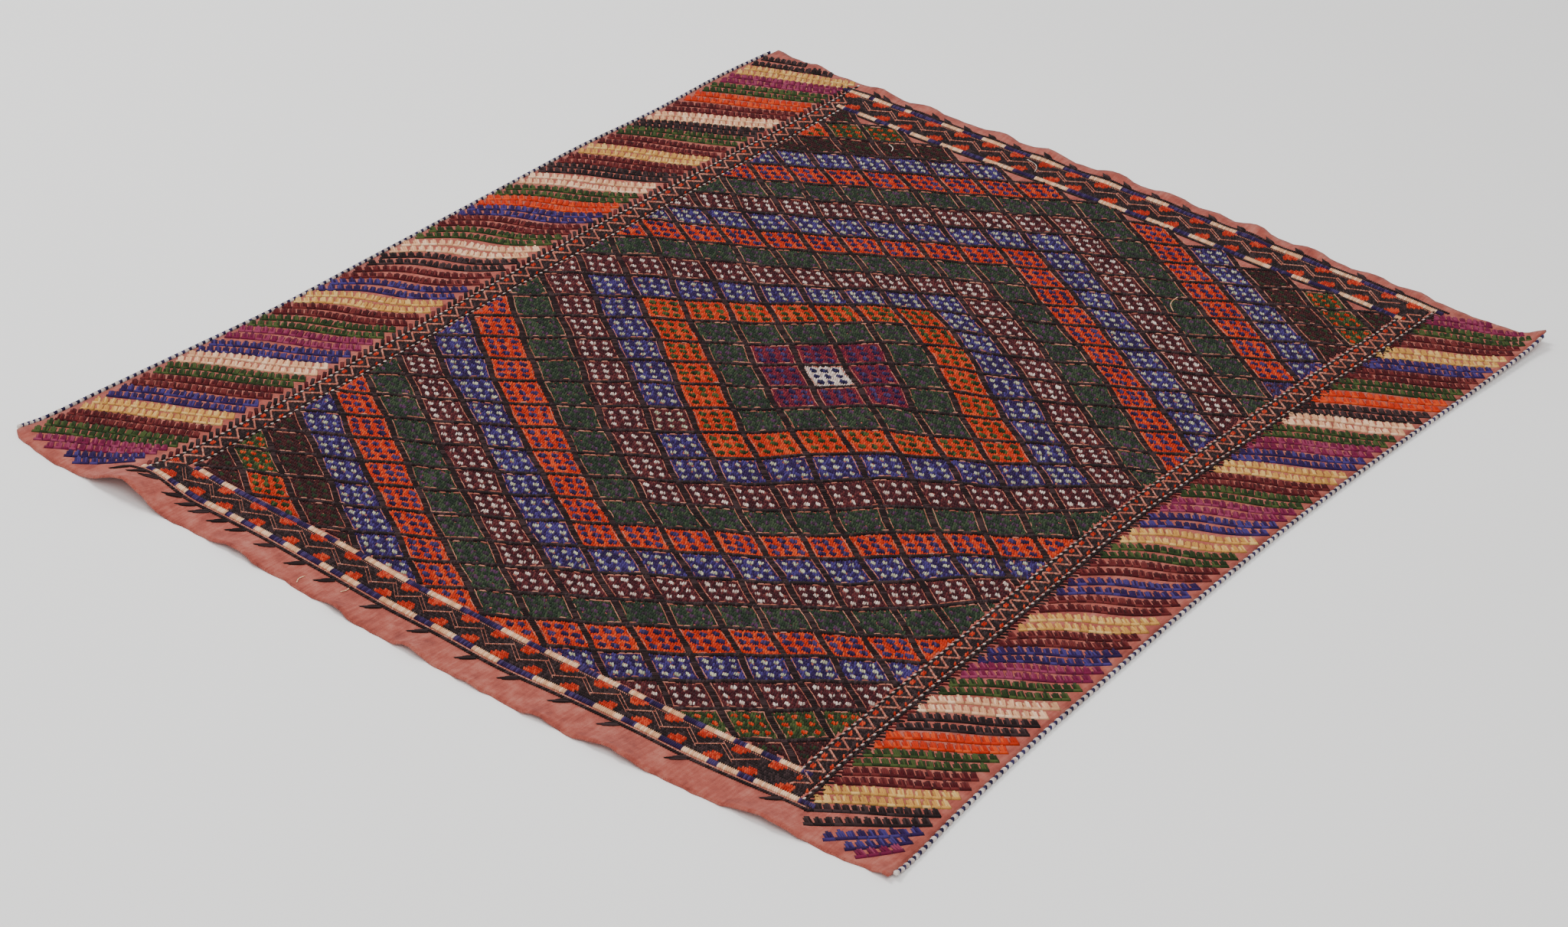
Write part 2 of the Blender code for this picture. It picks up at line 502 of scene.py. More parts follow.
@dataclass(frozen=True)
class DyedWool(Finish):
    """Hand-spun wool yarn, dyed in the skein and wrapped over the warps by hand.

    Each stitch takes the dye a little differently, so its tone varies stitch by stitch and also
    slowly over the rug. The fibre gives a dull face with a faint soft sheen and no highlight, and
    the colour is darkened a little in the fibre's hollows as painted shade.
    """

    tone: str
    deep: str
    fleck: str
    roughness: float = 0.92
    fibre_mm: float = 1.4  # real fibres are 0.03 mm, drawn as coarse as the render can show
    fibre_depth_mm: float = 0.3
    fibre_hollow_painted_shade: float = 0.22
    drift_mm: float = 55.0
    drift_share: float = 0.6

    def shader_inputs(self, add: Adder, place: Socket) -> Inputs:
        """Dye each stitch by its own tone and the slow drift, roughen it with fibre, and paint shade
        into the fibre's hollows.

        Args:
            add: Adds a node to the material.
            place: Where on the rug, in metres.

        Returns:
            The shader's inputs.
        """
        drift = add(NOISE, {"Vector": place, "Scale": 1 / (self.drift_mm * MM), "Detail": 2.0})
        fibre = add(NOISE, {"Vector": place, "Scale": 1 / (self.fibre_mm * MM), "Detail": 3.0})
        stitch = add("ShaderNodeAttribute", attribute_name="tone").node.outputs["Fac"]
        tone = add(MATHS, {0: drift, 1: self.drift_share, 2: stitch}, operation="MULTIPLY_ADD")
        stops = ((0.25, self.deep), (0.84375, self.tone), (0.99, self.fleck))
        # painted shade: the colour is darkened where the fibre noise, which is also the bump's
        # height, is low
        painted_hollow_shade = add("ShaderNodeMapRange", {"Value": fibre, "From Min": 0.3, "From Max": 0.7})
        colour_with_hollow_shade = {0: self.fibre_hollow_painted_shade, 6: add(RAMP, {"Fac": tone}, stops), 7: painted_hollow_shade}
        relief = {"Strength": 0.35, "Distance": self.fibre_depth_mm * MM, "Height": fibre}
        return {
            "Base Color": add("ShaderNodeMix", colour_with_hollow_shade, data_type="RGBA", blend_type="MULTIPLY"),
            "Normal": add("ShaderNodeBump", relief),
            "Roughness": self.roughness,
            "Specular IOR Level": 0.1,
            "Sheen Weight": 0.03,
            "Sheen Roughness": 0.6,
        }


@dataclass(frozen=True)
class PlainWeave(Finish):
    """Salmon wool flatweave: weft packed over warp, so its face is fine ribs along the warp.

    The single yarns differ in tone, which gives thin streaks up the rug, and the weave gives a
    fine grain that catches the light.
    """

    name: str = "salmon wool plain weave"
    tone: str = "#9b4c40"
    deep: str = "#7c362d"
    pale: str = "#ad6759"
    warp_mm: float = 2.4
    weft_mm: float = 1.8  # real wefts are about 1 mm, drawn coarser so that they show
    weave_depth_mm: float = 0.35
    streak_wide_mm: float = 3.2
    streak_long_mm: float = 55.0
    streak_share: float = 0.5
    patch_mm: float = 22.0
    patch_relief: float = 9.0

    def shader_inputs(self, add: Adder, place: Socket) -> Inputs:
        """Streak the dye up the rug, and raise the weave where warp and weft cross.

        Args:
            add: Adds a node to the material.
            place: Where on the rug, in metres.

        Returns:
            The shader's inputs.
        """
        streak_scale = (1 / (self.streak_wide_mm * MM), 1 / (self.streak_long_mm * MM), 1.0)
        drawn = add("ShaderNodeMapping", {"Vector": place, "Scale": streak_scale})
        streak = add(NOISE, {"Vector": drawn, "Scale": 1.0, "Detail": 3.0, "Roughness": 0.6})
        patch_scale = 1 / (self.patch_mm * MM)
        patch_inputs = {"Vector": place, "Scale": patch_scale, "Detail": 4.0, "Roughness": 0.65}
        patch = add(NOISE, patch_inputs)
        tone = add(MATHS, {0: streak, 1: self.streak_share, 2: patch}, operation="MULTIPLY_ADD")
        stops = ((0.5, self.deep), (0.74, self.tone), (0.98, self.pale))
        axes = add("ShaderNodeSeparateXYZ", {0: place}).node.outputs
        waves = {}
        for axis, pitch in enumerate((self.warp_mm, self.weft_mm)):
            rate = 2 * math.pi / (pitch * MM)
            turn = add(MATHS, {0: axes[axis], 1: rate}, operation="MULTIPLY")
            waves[axis] = add(MATHS, {0: turn}, operation="SINE")
        weave = add(MATHS, waves, operation="MULTIPLY")
        grain = add(MATHS, {0: patch, 1: self.patch_relief, 2: weave}, operation="MULTIPLY_ADD")
        relief = {"Strength": 0.6, "Distance": self.weave_depth_mm * MM, "Height": grain}
        return {
            "Base Color": add(RAMP, {"Fac": tone}, stops),
            "Normal": add("ShaderNodeBump", relief),
            "Roughness": 0.95,
            "Specular IOR Level": 0.15,
            "Sheen Weight": 0.1,
        }


@dataclass(frozen=True)
class StudioPaper(Finish):
    """Matt white paper, which gives an even pale ground with a faint broad drift of tone."""

    name: str = "matt white studio paper"
    whites: tuple[tuple[float, str], ...] = ((0.0, "#f4f3f1"), (1.0, "#f7f6f5"))

    def shader_inputs(self, add: Adder, place: Socket) -> Inputs:
        """A faint drift between two whites, on a rough face."""
        drift = {"Fac": add(NOISE, {"Vector": place, "Scale": 3.0})}
        return {"Base Color": add(RAMP, drift, self.whites), "Roughness": 0.9}


YARNS: dict[Yarn, DyedWool] = {
    Yarn.BLACK: DyedWool("black goat hair and wool yarn", "#261819", "#160f10", "#3b2a2b"),
    Yarn.WHITE: DyedWool("undyed white wool yarn", "#ccb6aa", "#9a867c", "#e2d3c8"),
    Yarn.ECRU: DyedWool("undyed ecru wool yarn", "#e3ad84", "#b27e5a", "#eec6a2"),
    Yarn.CREAM: DyedWool("weld cream wool yarn", "#ca954d", "#9f7038", "#d8b06c"),
    Yarn.MAGENTA: DyedWool("magenta wool yarn", "#70183c", "#4d102a", "#8a3753"),
    Yarn.GREEN: DyedWool("leaf green wool yarn", "#29361a", "#192411", "#445028"),
    Yarn.ORANGE: DyedWool("burnt orange wool yarn", "#bf2d0c", "#92200a", "#cd4a20"),
    Yarn.MAROON: DyedWool("madder maroon wool yarn", "#4d1318", "#310c10", "#672726"),
    Yarn.BLUE: DyedWool("indigo violet wool yarn", "#2e1949", "#1f1133", "#42336e"),
    Yarn.CRIMSON: DyedWool("crimson wool yarn", "#65112a", "#44112c", "#7a222e"),
    Yarn.FOREST: DyedWool("forest green wool yarn", "#243122", "#192118", "#39452f"),
    Yarn.WINE: DyedWool("wine red wool yarn", "#42151c", "#2a0d14", "#5a2528"),
    Yarn.DARK_WINE: DyedWool("dark wine wool yarn", "#331215", "#220d10", "#421a1b"),
    Yarn.MOSS: DyedWool("moss green wool yarn", "#1c2417", "#191812", "#26371d"),
    Yarn.VIOLET: DyedWool("dark violet wool yarn", "#2c1a42", "#1e122e", "#42325e"),
    Yarn.PLUM: DyedWool("muted plum wool yarn", "#33252f", "#221f22", "#502e4a"),
    Yarn.PALE_YELLOW: DyedWool("pale yellow wool yarn", "#a9a78c", "#7a7866", "#c2c0a4"),
    Yarn.NAVY: DyedWool("navy wool yarn", "#231c40", "#16142a", "#362f56"),
    Yarn.ROSE: DyedWool("pale rose wool yarn", "#b06654", "#8a4a3e", "#c6826e"),
    Yarn.RED_ORANGE: DyedWool("red orange wool yarn", "#b42810", "#841d0d", "#c64828"),
    Yarn.ASH: DyedWool("undyed grey white wool yarn", "#c8b8b0", "#94807c", "#d8ccc4"),
}


@dataclass(frozen=True)
class StitchNodes:
    """Geometry Nodes that put one stitch on each charted point and turn it with the cloth."""

    ridge_share: float = 0.55
    palest: float = 0.85
    deepest: float = 0.2
    seed: int = 7

    def build(self) -> bpy.types.NodeTree:
        """Build the tree.

        Returns:
            The node group, whose inputs are named after what they set.
        """
        tree = bpy.data.node_groups.new("laid_stitches", "GeometryNodeTree")
        for name, way, kind, value in (
            ("Geometry", "INPUT", "Geometry", None),
            ("Ridge Share", "INPUT", "Float", self.ridge_share),
            ("Sunk Share", "INPUT", "Float", 0.0),
            ("Round", "INPUT", "Bool", False),
            ("Seed", "INPUT", "Int", self.seed),
            ("Yarn", "INPUT", "Material", None),
            ("Geometry", "OUTPUT", "Geometry", None),
        ):
            kept = {"name": name, "in_out": way, "socket_type": f"NodeSocket{kind}"}
            made = tree.interface.new_socket(**kept)
            if value is not None:
                made.default_value = value
        add = partial(add_node, tree)
        given = add("NodeGroupInput").node.outputs
        stitches = {
            "Points": given["Geometry"],
            "Instance": self.one_stitch(add, given),
            "Rotation": self.turned(add),
            "Scale": self.charted(add, "size"),
        }
        laid = add("GeometryNodeInstanceOnPoints", stitches)
        span = {"Min": self.deepest, "Max": self.palest, "Seed": given["Seed"]}
        chance = add("FunctionNodeRandomValue", span, data_type="FLOAT")
        tone = {"Geometry": laid, "Name": "tone", "Value": chance}
        kind = {"data_type": "FLOAT", "domain": "INSTANCE"}
        toned = add("GeometryNodeStoreNamedAttribute", tone, **kind)
        real = add("GeometryNodeRealizeInstances", {0: toned})
        dressed = add("GeometryNodeSetMaterial", {"Geometry": real, "Material": given["Yarn"]})
        add("NodeGroupOutput", {0: dressed})
        return tree

    @staticmethod
    def one_stitch(add: Adder, given: Any) -> Socket:
        """Shape one stitch of unit size, as a hipped ridge or a rounded bead.

        Args:
            add: Adds a node to the tree.
            given: The tree's inputs.

        Returns:
            The stitch.
        """
        place = add("GeometryNodeInputPosition")
        corner = add("ShaderNodeSeparateXYZ", {0: place}).node.outputs
        above = add("FunctionNodeCompare", {0: corner[2], 1: 0.0}, operation="GREATER_THAN")
        narrow = add(MATHS, {0: corner[0], 1: given["Ridge Share"]}, operation="MULTIPLY")
        ridge = add(COMBINE, {0: narrow, 2: 1.0})
        foot = add(COMBINE, {0: corner[0], 1: corner[1]})
        roof = add(SWITCH, {0: above, 1: foot, 2: ridge}, input_type="VECTOR")
        block = add("GeometryNodeMeshCube", {"Size": (1.0, 1.0, 1.0)})
        pinched = add(SET_PLACE, {"Geometry": block, "Position": roof})
        hipped = add("GeometryNodeMergeByDistance", {"Geometry": pinched, "Distance": 0.001})
        ball = add("GeometryNodeMeshIcoSphere", {"Radius": 0.5, "Subdivisions": 1})
        bead = add("GeometryNodeTransform", {"Geometry": ball, "Translation": (0.0, 0.0, 0.5)})
        either = add(SWITCH, {0: given["Round"], 1: hipped, 2: bead}, input_type="GEOMETRY")
        down = add(MATHS, {0: given["Sunk Share"], 1: -1.0}, operation="MULTIPLY")
        sunk = add(SET_PLACE, {"Geometry": either, "Offset": add(COMBINE, {2: down})})
        return add("GeometryNodeSetShadeSmooth", {0: sunk})

    def turned(self, add: Adder) -> Socket:
        """Turn a stitch upright on the cloth's face, and then along its heading.

        Args:
            add: Adds a node to the tree.

        Returns:
            The rotation.
        """
        upright = add(ALIGN, {"Vector": self.charted(add, "face")}, axis="Z")
        along = {"Rotation": upright, "Vector": self.charted(add, "heading")}
        return add(ALIGN, along, axis="X", pivot_axis="Z")

    @staticmethod
    def charted(add: Adder, fact: str) -> Socket:
        """Read a vector that the chart keeps on its points."""
        return add("GeometryNodeInputNamedAttribute", {"Name": fact}, data_type="FLOAT_VECTOR")


def finish_piece(piece: bpy.types.Object) -> bpy.types.Object:
    """Make a piece's modifiers plain mesh, map it flat for its textures, and let it ride.

    Args:
        piece: The piece with its modifier.

    Returns:
        The finished piece.
    """
    bare = piece.data
    facts = {fact.name for fact in bare.attributes} & {"face", "heading", "size"}
    graph = bpy.context.evaluated_depsgraph_get()
    mesh = bpy.data.meshes.new_from_object(piece.evaluated_get(graph))
    piece.modifiers.clear()
    piece.data = mesh
    bpy.data.meshes.remove(bare)
    mesh.name = piece.name
    for fact in facts:
        mesh.attributes.remove(mesh.attributes[fact])
    places = np.empty(len(mesh.vertices) * 3, np.float32)
    mesh.vertices.foreach_get("co", places)
    flat = places.reshape(-1, 3)[:, :2]
    flat = (flat - flat.min(axis=0)) / np.ptp(flat, axis=0) * 0.98 + 0.01
    corners = np.empty(len(mesh.loops), np.int32)
    mesh.loops.foreach_get("vertex_index", corners)
    layer = mesh.uv_layers.new(name="OFBake")
    layer.data.foreach_set("uv", flat[corners].ravel())
    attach(piece, "root")
    return piece


@dataclass
class Loom:
    """Lays charted stitches on the cloth and turns each chart into one plain mesh."""

    plan: RugPlan
    tree: bpy.types.NodeTree
    wools: dict[Yarn, bpy.types.Material]
    pieces: list[bpy.types.Object] = field(default_factory=list)

    def weave(
        self, label: str, chart: np.ndarray, inputs: dict[str, Any], slot: str
    ) -> bpy.types.Object:
        """Make one piece.

        Args:
            label: Its name.
            chart: Its stitches: rows of x, y, heading, length, width, height and rise.
            inputs: What the stitch tree's inputs are set to.
            slot: A material slot name; not used.

        Returns:
            The finished piece.
        """
        x, y, heading, length, width, height, rise = chart
        turn = np.radians(heading)
        facts = {
            "face": self.plan.normals(x, y),
            "heading": np.stack([np.cos(turn), np.sin(turn), np.zeros_like(turn)], axis=1),
            "size": np.stack([length, width, height], axis=1) * MM,
        }
        foot = self.plan.lift(*self.plan.square(x, y)) + self.plan.thickness + rise
        points = bpy.data.meshes.new(f"{label}_chart")
        points.from_pydata(self.plan.points(x, y, foot).tolist(), [], [])
        for fact, values in facts.items():
            kept = points.attributes.new(fact, "FLOAT_VECTOR", "POINT")
            kept.data.foreach_set("vector", values.astype(np.float32).ravel())
        points.update()
        piece = add_object(label, points)
        nodes = piece.modifiers.new("stitches", "NODES")
        nodes.node_group = self.tree
        for socket in self.tree.interface.items_tree:
            if socket.in_out == "INPUT" and socket.name in inputs:
                nodes[socket.identifier] = inputs[socket.name]
        self.pieces.append(finish_piece(piece))
        log.info("%s: %d stitches, %d faces", label, x.size, len(piece.data.polygons))
        return piece


@dataclass
class Brocade:
    """A part of the pattern: charts its stitches yarn by yarn, then has each chart woven."""

    loom: Loom
    name: str
    charts: dict[tuple[str, Yarn], list[np.ndarray]] = field(default_factory=dict, init=False)

    def make(self) -> None:
        """Chart and weave the part, which each kind does in its own way."""
        raise NotImplementedError

    def lay(
        self, yarn: Yarn, x: Row, y: Row, heading: Any, stitch: Stitch, part: str = ""
    ) -> None:
        """Chart stitches of one yarn.

        Args:
            yarn: What they are worked in.
            x: Their real places across the rug.
            y: Their real places up the rug.
            heading: Degrees from the x axis of their length.
            stitch: Their size.
            part: What they are part of, where that isn't the whole.
        """
        rows = (np.asarray(value, float) for value in (x, y, heading, *stitch))
        chart = self.charts.setdefault((part or self.name, yarn), [])
        chart.append(np.stack(np.broadcast_arrays(*rows)))

    def weave(
        self,
        shape: StitchShape = StitchShape.RIDGE,
        sunk: float = 0.0,
        slot: str = "ground_wool",
    ) -> list[bpy.types.Object]:
        """Have each chart woven.

        Args:
            shape: How a stitch is modelled.
            sunk: Share of a stitch's height that lies below its charted place.
            slot: A material slot name, which is passed on to the loom.

        Returns:
            The new pieces.
        """
        made = []
        for (part, yarn), chart in self.charts.items():
            inputs = {
                "Sunk Share": sunk,
                "Round": shape is StitchShape.ROUND,
                "Yarn": self.loom.wools[yarn],
            }
            label = f"{part}_{yarn.name.lower()}"
            made.append(self.loom.weave(label, np.concatenate(chart, axis=1), inputs, slot))
        return made


@dataclass(frozen=True)
class GroundCloth:
    """The flatweave itself: one cloth with ragged ends, thickened downwards."""

    plan: RugPlan
    across_step: float = 11.0
    end_step: float = 6.0
    middle_step: float = 26.0
    end_zone: float = 145.0
    side_zone: float = 30.0
    side_inset: float = 3.3
    ragged_zone: float = 14.0
    ragged: float = 1.6
    frays: tuple[tuple[float, float, float], ...] = (
        (1.0, 0.21, 0.0), (1.0, 0.083, 1.7), (0.7, 0.47, 4.0),
    )

    def rows(self) -> Row:
        """Space the grid's lines up the square drawing, closer at the ends.

        Returns:
            Their heights.
        """
        low, high = SQUARE_Y.bottom_end, SQUARE_Y.top_end
        ends = np.arange(0, self.end_zone, self.end_step)
        count = round((high - low - 2 * self.end_zone) / self.middle_step)
        middle = np.linspace(low + self.end_zone, high - self.end_zone, count)
        return np.concatenate([low + ends, middle, high - ends[::-1]])

    def make(self) -> bpy.types.Object:
        """Build the cloth.

        Returns:
            The finished cloth.
        """
        low, high = SQUARE_X.left, SQUARE_X.right
        columns = np.linspace(low, high, round((high - low) / self.across_step) + 1)
        rows = self.rows()
        sx, sy = crossed(columns, rows)
        x, y = self.plan.real(sx, sy)
        x += np.interp(sx, [low, low + self.side_zone], [self.side_inset, 0])
        x -= np.interp(sx, [high - self.side_zone, high], [0, self.side_inset])
        fray = sum(share * np.sin(sx * rate + start) for share, rate, start in self.frays)
        from_end = np.minimum(sy - rows[0], rows[-1] - sy)
        near_end = np.clip(1 - from_end / self.ragged_zone, 0, 1)
        y += self.ragged * 0.5 * fray * near_end * np.sign(sy)
        places = self.plan.points(x, y, self.plan.lift(sx, sy) + self.plan.thickness)
        wide = len(columns)
        faces = [
            (k + j, k + j + 1, k + j + 1 + wide, k + j + wide)
            for j in range(0, wide * (len(rows) - 1), wide)
            for k in range(wide - 1)
        ]
        mesh = bpy.data.meshes.new("flatweave_sheet")
        mesh.from_pydata(places.tolist(), [], faces)
        mesh.shade_smooth()
        mesh.materials.append(PlainWeave().make())
        cloth = add_object("flatweave_ground", mesh)
        thick = cloth.modifiers.new("thickness", "SOLIDIFY")
        thick.thickness = self.plan.thickness * MM
        thick.offset = -1.0
        finish_piece(cloth)
        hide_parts("kilim_cloth")
        log.info("flatweave_ground: %d faces", len(cloth.data.polygons))
        return cloth


class Crossing(NamedTuple):
    """Middles of five diamonds of one lattice row, in chart units."""

    row: float
    at_minus_8: float
    at_minus_4: float
    at_0: float
    at_4: float
    at_8: float


LATTICE_COLUMNS = (-8.0, -4.0, 0.0, 4.0, 8.0)
LATTICE_X = (
    Crossing(-20, 370, 574, 786, 1009, 1215),
    Crossing(-16, 368, 577, 789, 1008, 1212),
    Crossing(-12, 374, 577, 792, 1001, 1209),
    Crossing(-8, 370, 585, 783, 1003, 1205),
    Crossing(-4, 371, 583, 780, 1000, 1205),
    Crossing(0, 372, 583, 785, 995, 1193),
    Crossing(4, 381, 582, 788, 993, 1201),
    Crossing(8, 380, 590, 802, 1010, 1195),
    Crossing(12, 387, 598, 803, 1018, 1218),
    Crossing(16, 390, 603, 814, 1025, 1218),
    Crossing(20, 393, 609, 818, 1031, 1231),
)
LATTICE_Y = (
    Crossing(-20, 198, 196, 182, 188, 188),
    Crossing(-16, 343, 335, 332, 334, 330),
    Crossing(-12, 484, 484, 480, 480, 484),
    Crossing(-8, 631, 625, 621, 621, 628),
    Crossing(-4, 770, 774, 752, 770, 778),
    Crossing(0, 935, 938, 932, 930, 920),
    Crossing(4, 1109, 1100, 1103, 1082, 1090),
    Crossing(8, 1280, 1276, 1277, 1273, 1249),
    Crossing(12, 1429, 1432, 1427, 1422, 1415),
    Crossing(16, 1575, 1579, 1575, 1568, 1557),
    Crossing(20, 1713, 1722, 1719, 1717, 1712),
)


class Pull(NamedTuple):
    """A spot where the whole lattice is drawn aside, in chart units, and the diamond it is at."""

    column: float
    row: float
    right: float
    down: float


PULLS = (Pull(2, 0, -10, -15), Pull(7, 2, 8, 6))


class Ring(NamedTuple):
    """One ring of diamonds: the yarn of its ground and of its dots."""

    fill: Yarn
    dots: Yarn


RINGS = tuple(
    Ring(Yarn(pair[0]), Yarn(pair[1]))
    for pair in "Wn cv fP OG By wW fP Ov By wW fP Ov By dm GO dm OG wW vR wy".split()
)
LAST_RING = 15


class OddCell(NamedTuple):
    """A diamond that the weaver did in other yarns than its ring: its place, and their pair."""

    column: int
    row: int
    pair: int


ODD_CELLS = (
    OddCell(-8, 20, 16), OddCell(-7, 21, 16), OddCell(-10, -18, 16), OddCell(10, -12, 18),
    OddCell(-2, 6, 19), OddCell(5, 21, 17), OddCell(6, 20, 17), OddCell(7, 19, 17),
    OddCell(8, 18, 17), OddCell(9, 17, 17), OddCell(10, 16, 17),
)


class Dot(Enum):
    """How bold a yarn's dots are: their scale, thickness and rise."""

    SMALL = (1.04, 2.2, 0.0)
    BOLD = (1.4, 2.2, 0.6)
    QUIET = (1.4, 1.6, 0.0)


DOTS = {
    Yarn.PLUM: Dot.QUIET,
    Yarn.MOSS: Dot.QUIET,
    Yarn.VIOLET: Dot.BOLD,
    Yarn.GREEN: Dot.BOLD,
    Yarn.NAVY: Dot.BOLD,
}


def stretched(values: np.ndarray) -> np.ndarray:
    """Add one step before and one after the first axis, straight on from its ends."""
    return np.concatenate([2 * values[:1] - values[1:2], values, 2 * values[-1:] - values[-2:-1]])


@dataclass
class DiamondField(Brocade):
    """The field: a leaning lattice of black cords with a diamond of nine dots in each mesh."""

    half_wide: float = 52.5
    half_high: float = 38.3
    falling_width: float = 7.2
    rising_width: float = 6.2
    reach_x: tuple[float, float] = (-440.0, 450.0)
    reach_y: tuple[float, float] = (-672.0, 652.0)
    stitch_pitch: float = 3.1
    row_pitch: float = 5.2
    cord_pitch: float = 3.5
    outline_pitch: float = 7.6
    outline_away: float = 0.9
    cord_margin: float = 3.0
    dot_spacing: float = 0.26
    dot_margin: float = 0.05
    dot_stitches: tuple[tuple[int, float], ...] = ((-1, 4.8), (0, 6.0), (1, 5.2))
    dot_step: float = 2.1
    dot_width: float = 2.9
    guard_gap: float = 2.5
    rib_gap: float = 5.0
    cells: int = 16
    pull_wide: float = 1.5
    pull_high: float = 4.0
    wobble: float = 1.8
    wrap_width: float = 4.7
    wrap_height: float = 1.9
    wrap_turn: float = 78.0
    cord_rise: float = 0.7
    outline: Stitch = Stitch(8.6, 1.2, 1.4, 0.7)
    fill: Stitch = Stitch(7.3, 3.6, 1.5, -0.1)
    seed: int = 11

    def place(self, column: Row, row: Row) -> Places:
        """Carry places on the lattice to the real cloth.

        Args:
            column: Half widths of a diamond to the right of the middle one.
            row: Half heights of a diamond down from the middle one.

        Returns:
            Real millimetres across and up the rug.
        """
        columns = stretched(np.array(LATTICE_COLUMNS))
        u, v = (
            smooth_through(columns, stretched(read_columns(stretched(np.array(table)), row)), column)
            for table in (LATTICE_X, LATTICE_Y)
        )
        for pull in PULLS:
            off_wide = (column - pull.column) / self.pull_wide
            near = np.exp(-(off_wide**2) - ((row - pull.row) / self.pull_high) ** 2)
            u = u + pull.right * near
            v = v + pull.down * near
        u = u + self.wobble * np.sin(2.1 * row + 1.7 * column)
        v = v + self.wobble * np.sin(2.3 * column - 1.3 * row + 1)
        return chart_x(u), chart_y(v)

    def find(self, x: Row, y: Row) -> Places:
        """Find places on the lattice, in a few steps.

        Args:
            x: Real millimetres across the rug.
            y: Real millimetres up the rug.

        Returns:
            The places' columns and rows on the lattice.
        """
        wide, high = self.half_wide * CHART_UNIT, self.half_high * CHART_UNIT
        column, row = x / wide, -y / high
        for _ in range(6):
            px, py = self.place(column, row)
            column, row = column + (x - px) / wide, row + (py - y) / high
        return column, row

    @staticmethod
    def pair_of(i: Row, j: Row) -> Row:
        """Tell which yarn pair diamonds are worked in.

        Args:
            i: Their steps down to the right from the middle one.
            j: Their steps up to the right.

        Returns:
            The pairs' places among the rings.
        """
        pair = np.minimum(np.maximum(np.abs(i), np.abs(j)), LAST_RING).astype(int)
        for odd in ODD_CELLS:
            pair[(i + j == odd.column) & (i - j == odd.row)] = odd.pair
        return pair

    @staticmethod
    def outlined(fill: Yarn, falls: bool) -> float:
        """Which share of a diamond's sides has a pale outline, on its falling or rising sides."""
        shares = {Yarn.ORANGE: (0.06, 0.65), Yarn.BLUE: (0.18, 0.75)}
        return shares.get(fill, (0.36, 0.85))[falls]

    @staticmethod
    def worked(i: Row, j: Row) -> Row:
        """Whether the diamonds at lattice steps i and j are filled, and not left as ground."""
        bare = ((i - j > 20.5) & (i + j < -9.5)) | ((i - j > 21.5) & (i + j < -7.5))
        return (i - j > -20.5) & ~bare

    def inside(self, x: Row, y: Row, margin: float) -> Row:
        """Tell whether places lie in the field.

        Args:
            x: Real millimetres across the rug.
            y: Real millimetres up the rug.
            margin: How far inside its guards and ribs.

        Returns:
            True for each place that does.
        """
        sx, sy = self.loom.plan.square(x, y)
        return (
            (sx > SQUARE_X.guard_left + self.guard_gap + margin)
            & (sx < SQUARE_X.guard_right - self.guard_gap - margin)
            & (sy > SQUARE_Y.bottom_inner + self.rib_gap + margin)
            & (sy < SQUARE_Y.top_inner - self.rib_gap - margin)
        )

    def side(self) -> float:
        """Length in millimetres of one side of a diamond."""
        return math.hypot(self.half_wide, self.half_high) * CHART_UNIT

    def depth(self) -> float:
        """Distance in millimetres from one lattice cord to the next."""
        return 2 * self.half_wide * self.half_high * CHART_UNIT**2 / self.side()

    def fills(self) -> None:
        """Chart the ground of every diamond, row by row, leaving room for the dots."""
        rng = np.random.default_rng(self.seed)
        rows = np.arange(*self.reach_y, self.row_pitch)
        x, y = crossed(np.arange(*self.reach_x, self.stitch_pitch), rows)
        offsets = rng.uniform(0, self.stitch_pitch, len(rows))
        x = x + np.repeat(offsets, x.size // len(rows))
        x = x + rng.normal(0, 0.15, x.size)
        y = y + rng.normal(0, 0.25, y.size)
        within = self.inside(x, y, 0.5)
        x, y = x[within], y[within]
        column, row = self.find(x, y)
        steps = ((column + row) / 2, (column - row) / 2)
        i, j = (np.round(step) for step in steps)
        kept = self.worked(i, j)
        on_dot = np.ones_like(kept)
        for step in steps:
            off = step - np.round(step)
            kept &= np.abs(off) < 0.5 - self.cord_margin / self.depth()
            dot = self.dot_spacing * np.clip(np.round(off / self.dot_spacing), -1, 1)
            on_dot &= np.abs(off - dot) < self.dot_margin
        kept &= ~on_dot
        ring = self.pair_of(i, j)
        for number, (yarn, _) in enumerate(RINGS):
            mine = kept & (ring == number)
            count = int(mine.sum())
            if count:
                heading = SLANT + rng.normal(0, 4, count)
                length = rng.normal(self.fill.length, 0.3, count)
                height = rng.normal(self.fill.height, 0.12, count)
                stitch = self.fill._replace(length=length, height=height)
                self.lay(yarn, x[mine], y[mine], heading, stitch, "field_fill")

    def dots(self) -> None:
        """Chart the nine dots of every diamond, each of three leaning stitches."""
        rng = np.random.default_rng(self.seed + 1)
        steps = np.arange(-self.cells, self.cells + 1)
        all_i, all_j = crossed(steps, steps)
        pairs = np.where(self.worked(all_i, all_j), self.pair_of(all_i, all_j), -1)
        spots = (-self.dot_spacing, 0.0, self.dot_spacing)
        for (number, (_, yarn)), a, b in itertools.product(enumerate(RINGS), spots, spots):
            i, j = all_i[pairs == number] + a, all_j[pairs == number] + b
            x, y = self.place(i + j, i - j)
            kept = self.inside(x, y, 3.0)
            x, y = x[kept], y[kept]
            if not x.size:
                continue
            x = x + rng.normal(0, 0.5, x.size)
            y = y + rng.normal(0, 0.5, x.size)
            scale, height, rise = DOTS.get(yarn, Dot.SMALL).value
            size = rng.normal(scale, 0.1, x.size)
            for step, length in self.dot_stitches:
                up = y + rng.normal(step * 0.4, 0.7, x.size)
                heading = SLANT + rng.normal(0, 9, x.size)
                stitch = Stitch(length * size, self.dot_width * size, height, rise)
                aside = step * self.dot_step * size
                self.lay(yarn, x + aside, up, heading, stitch, "field_dots")

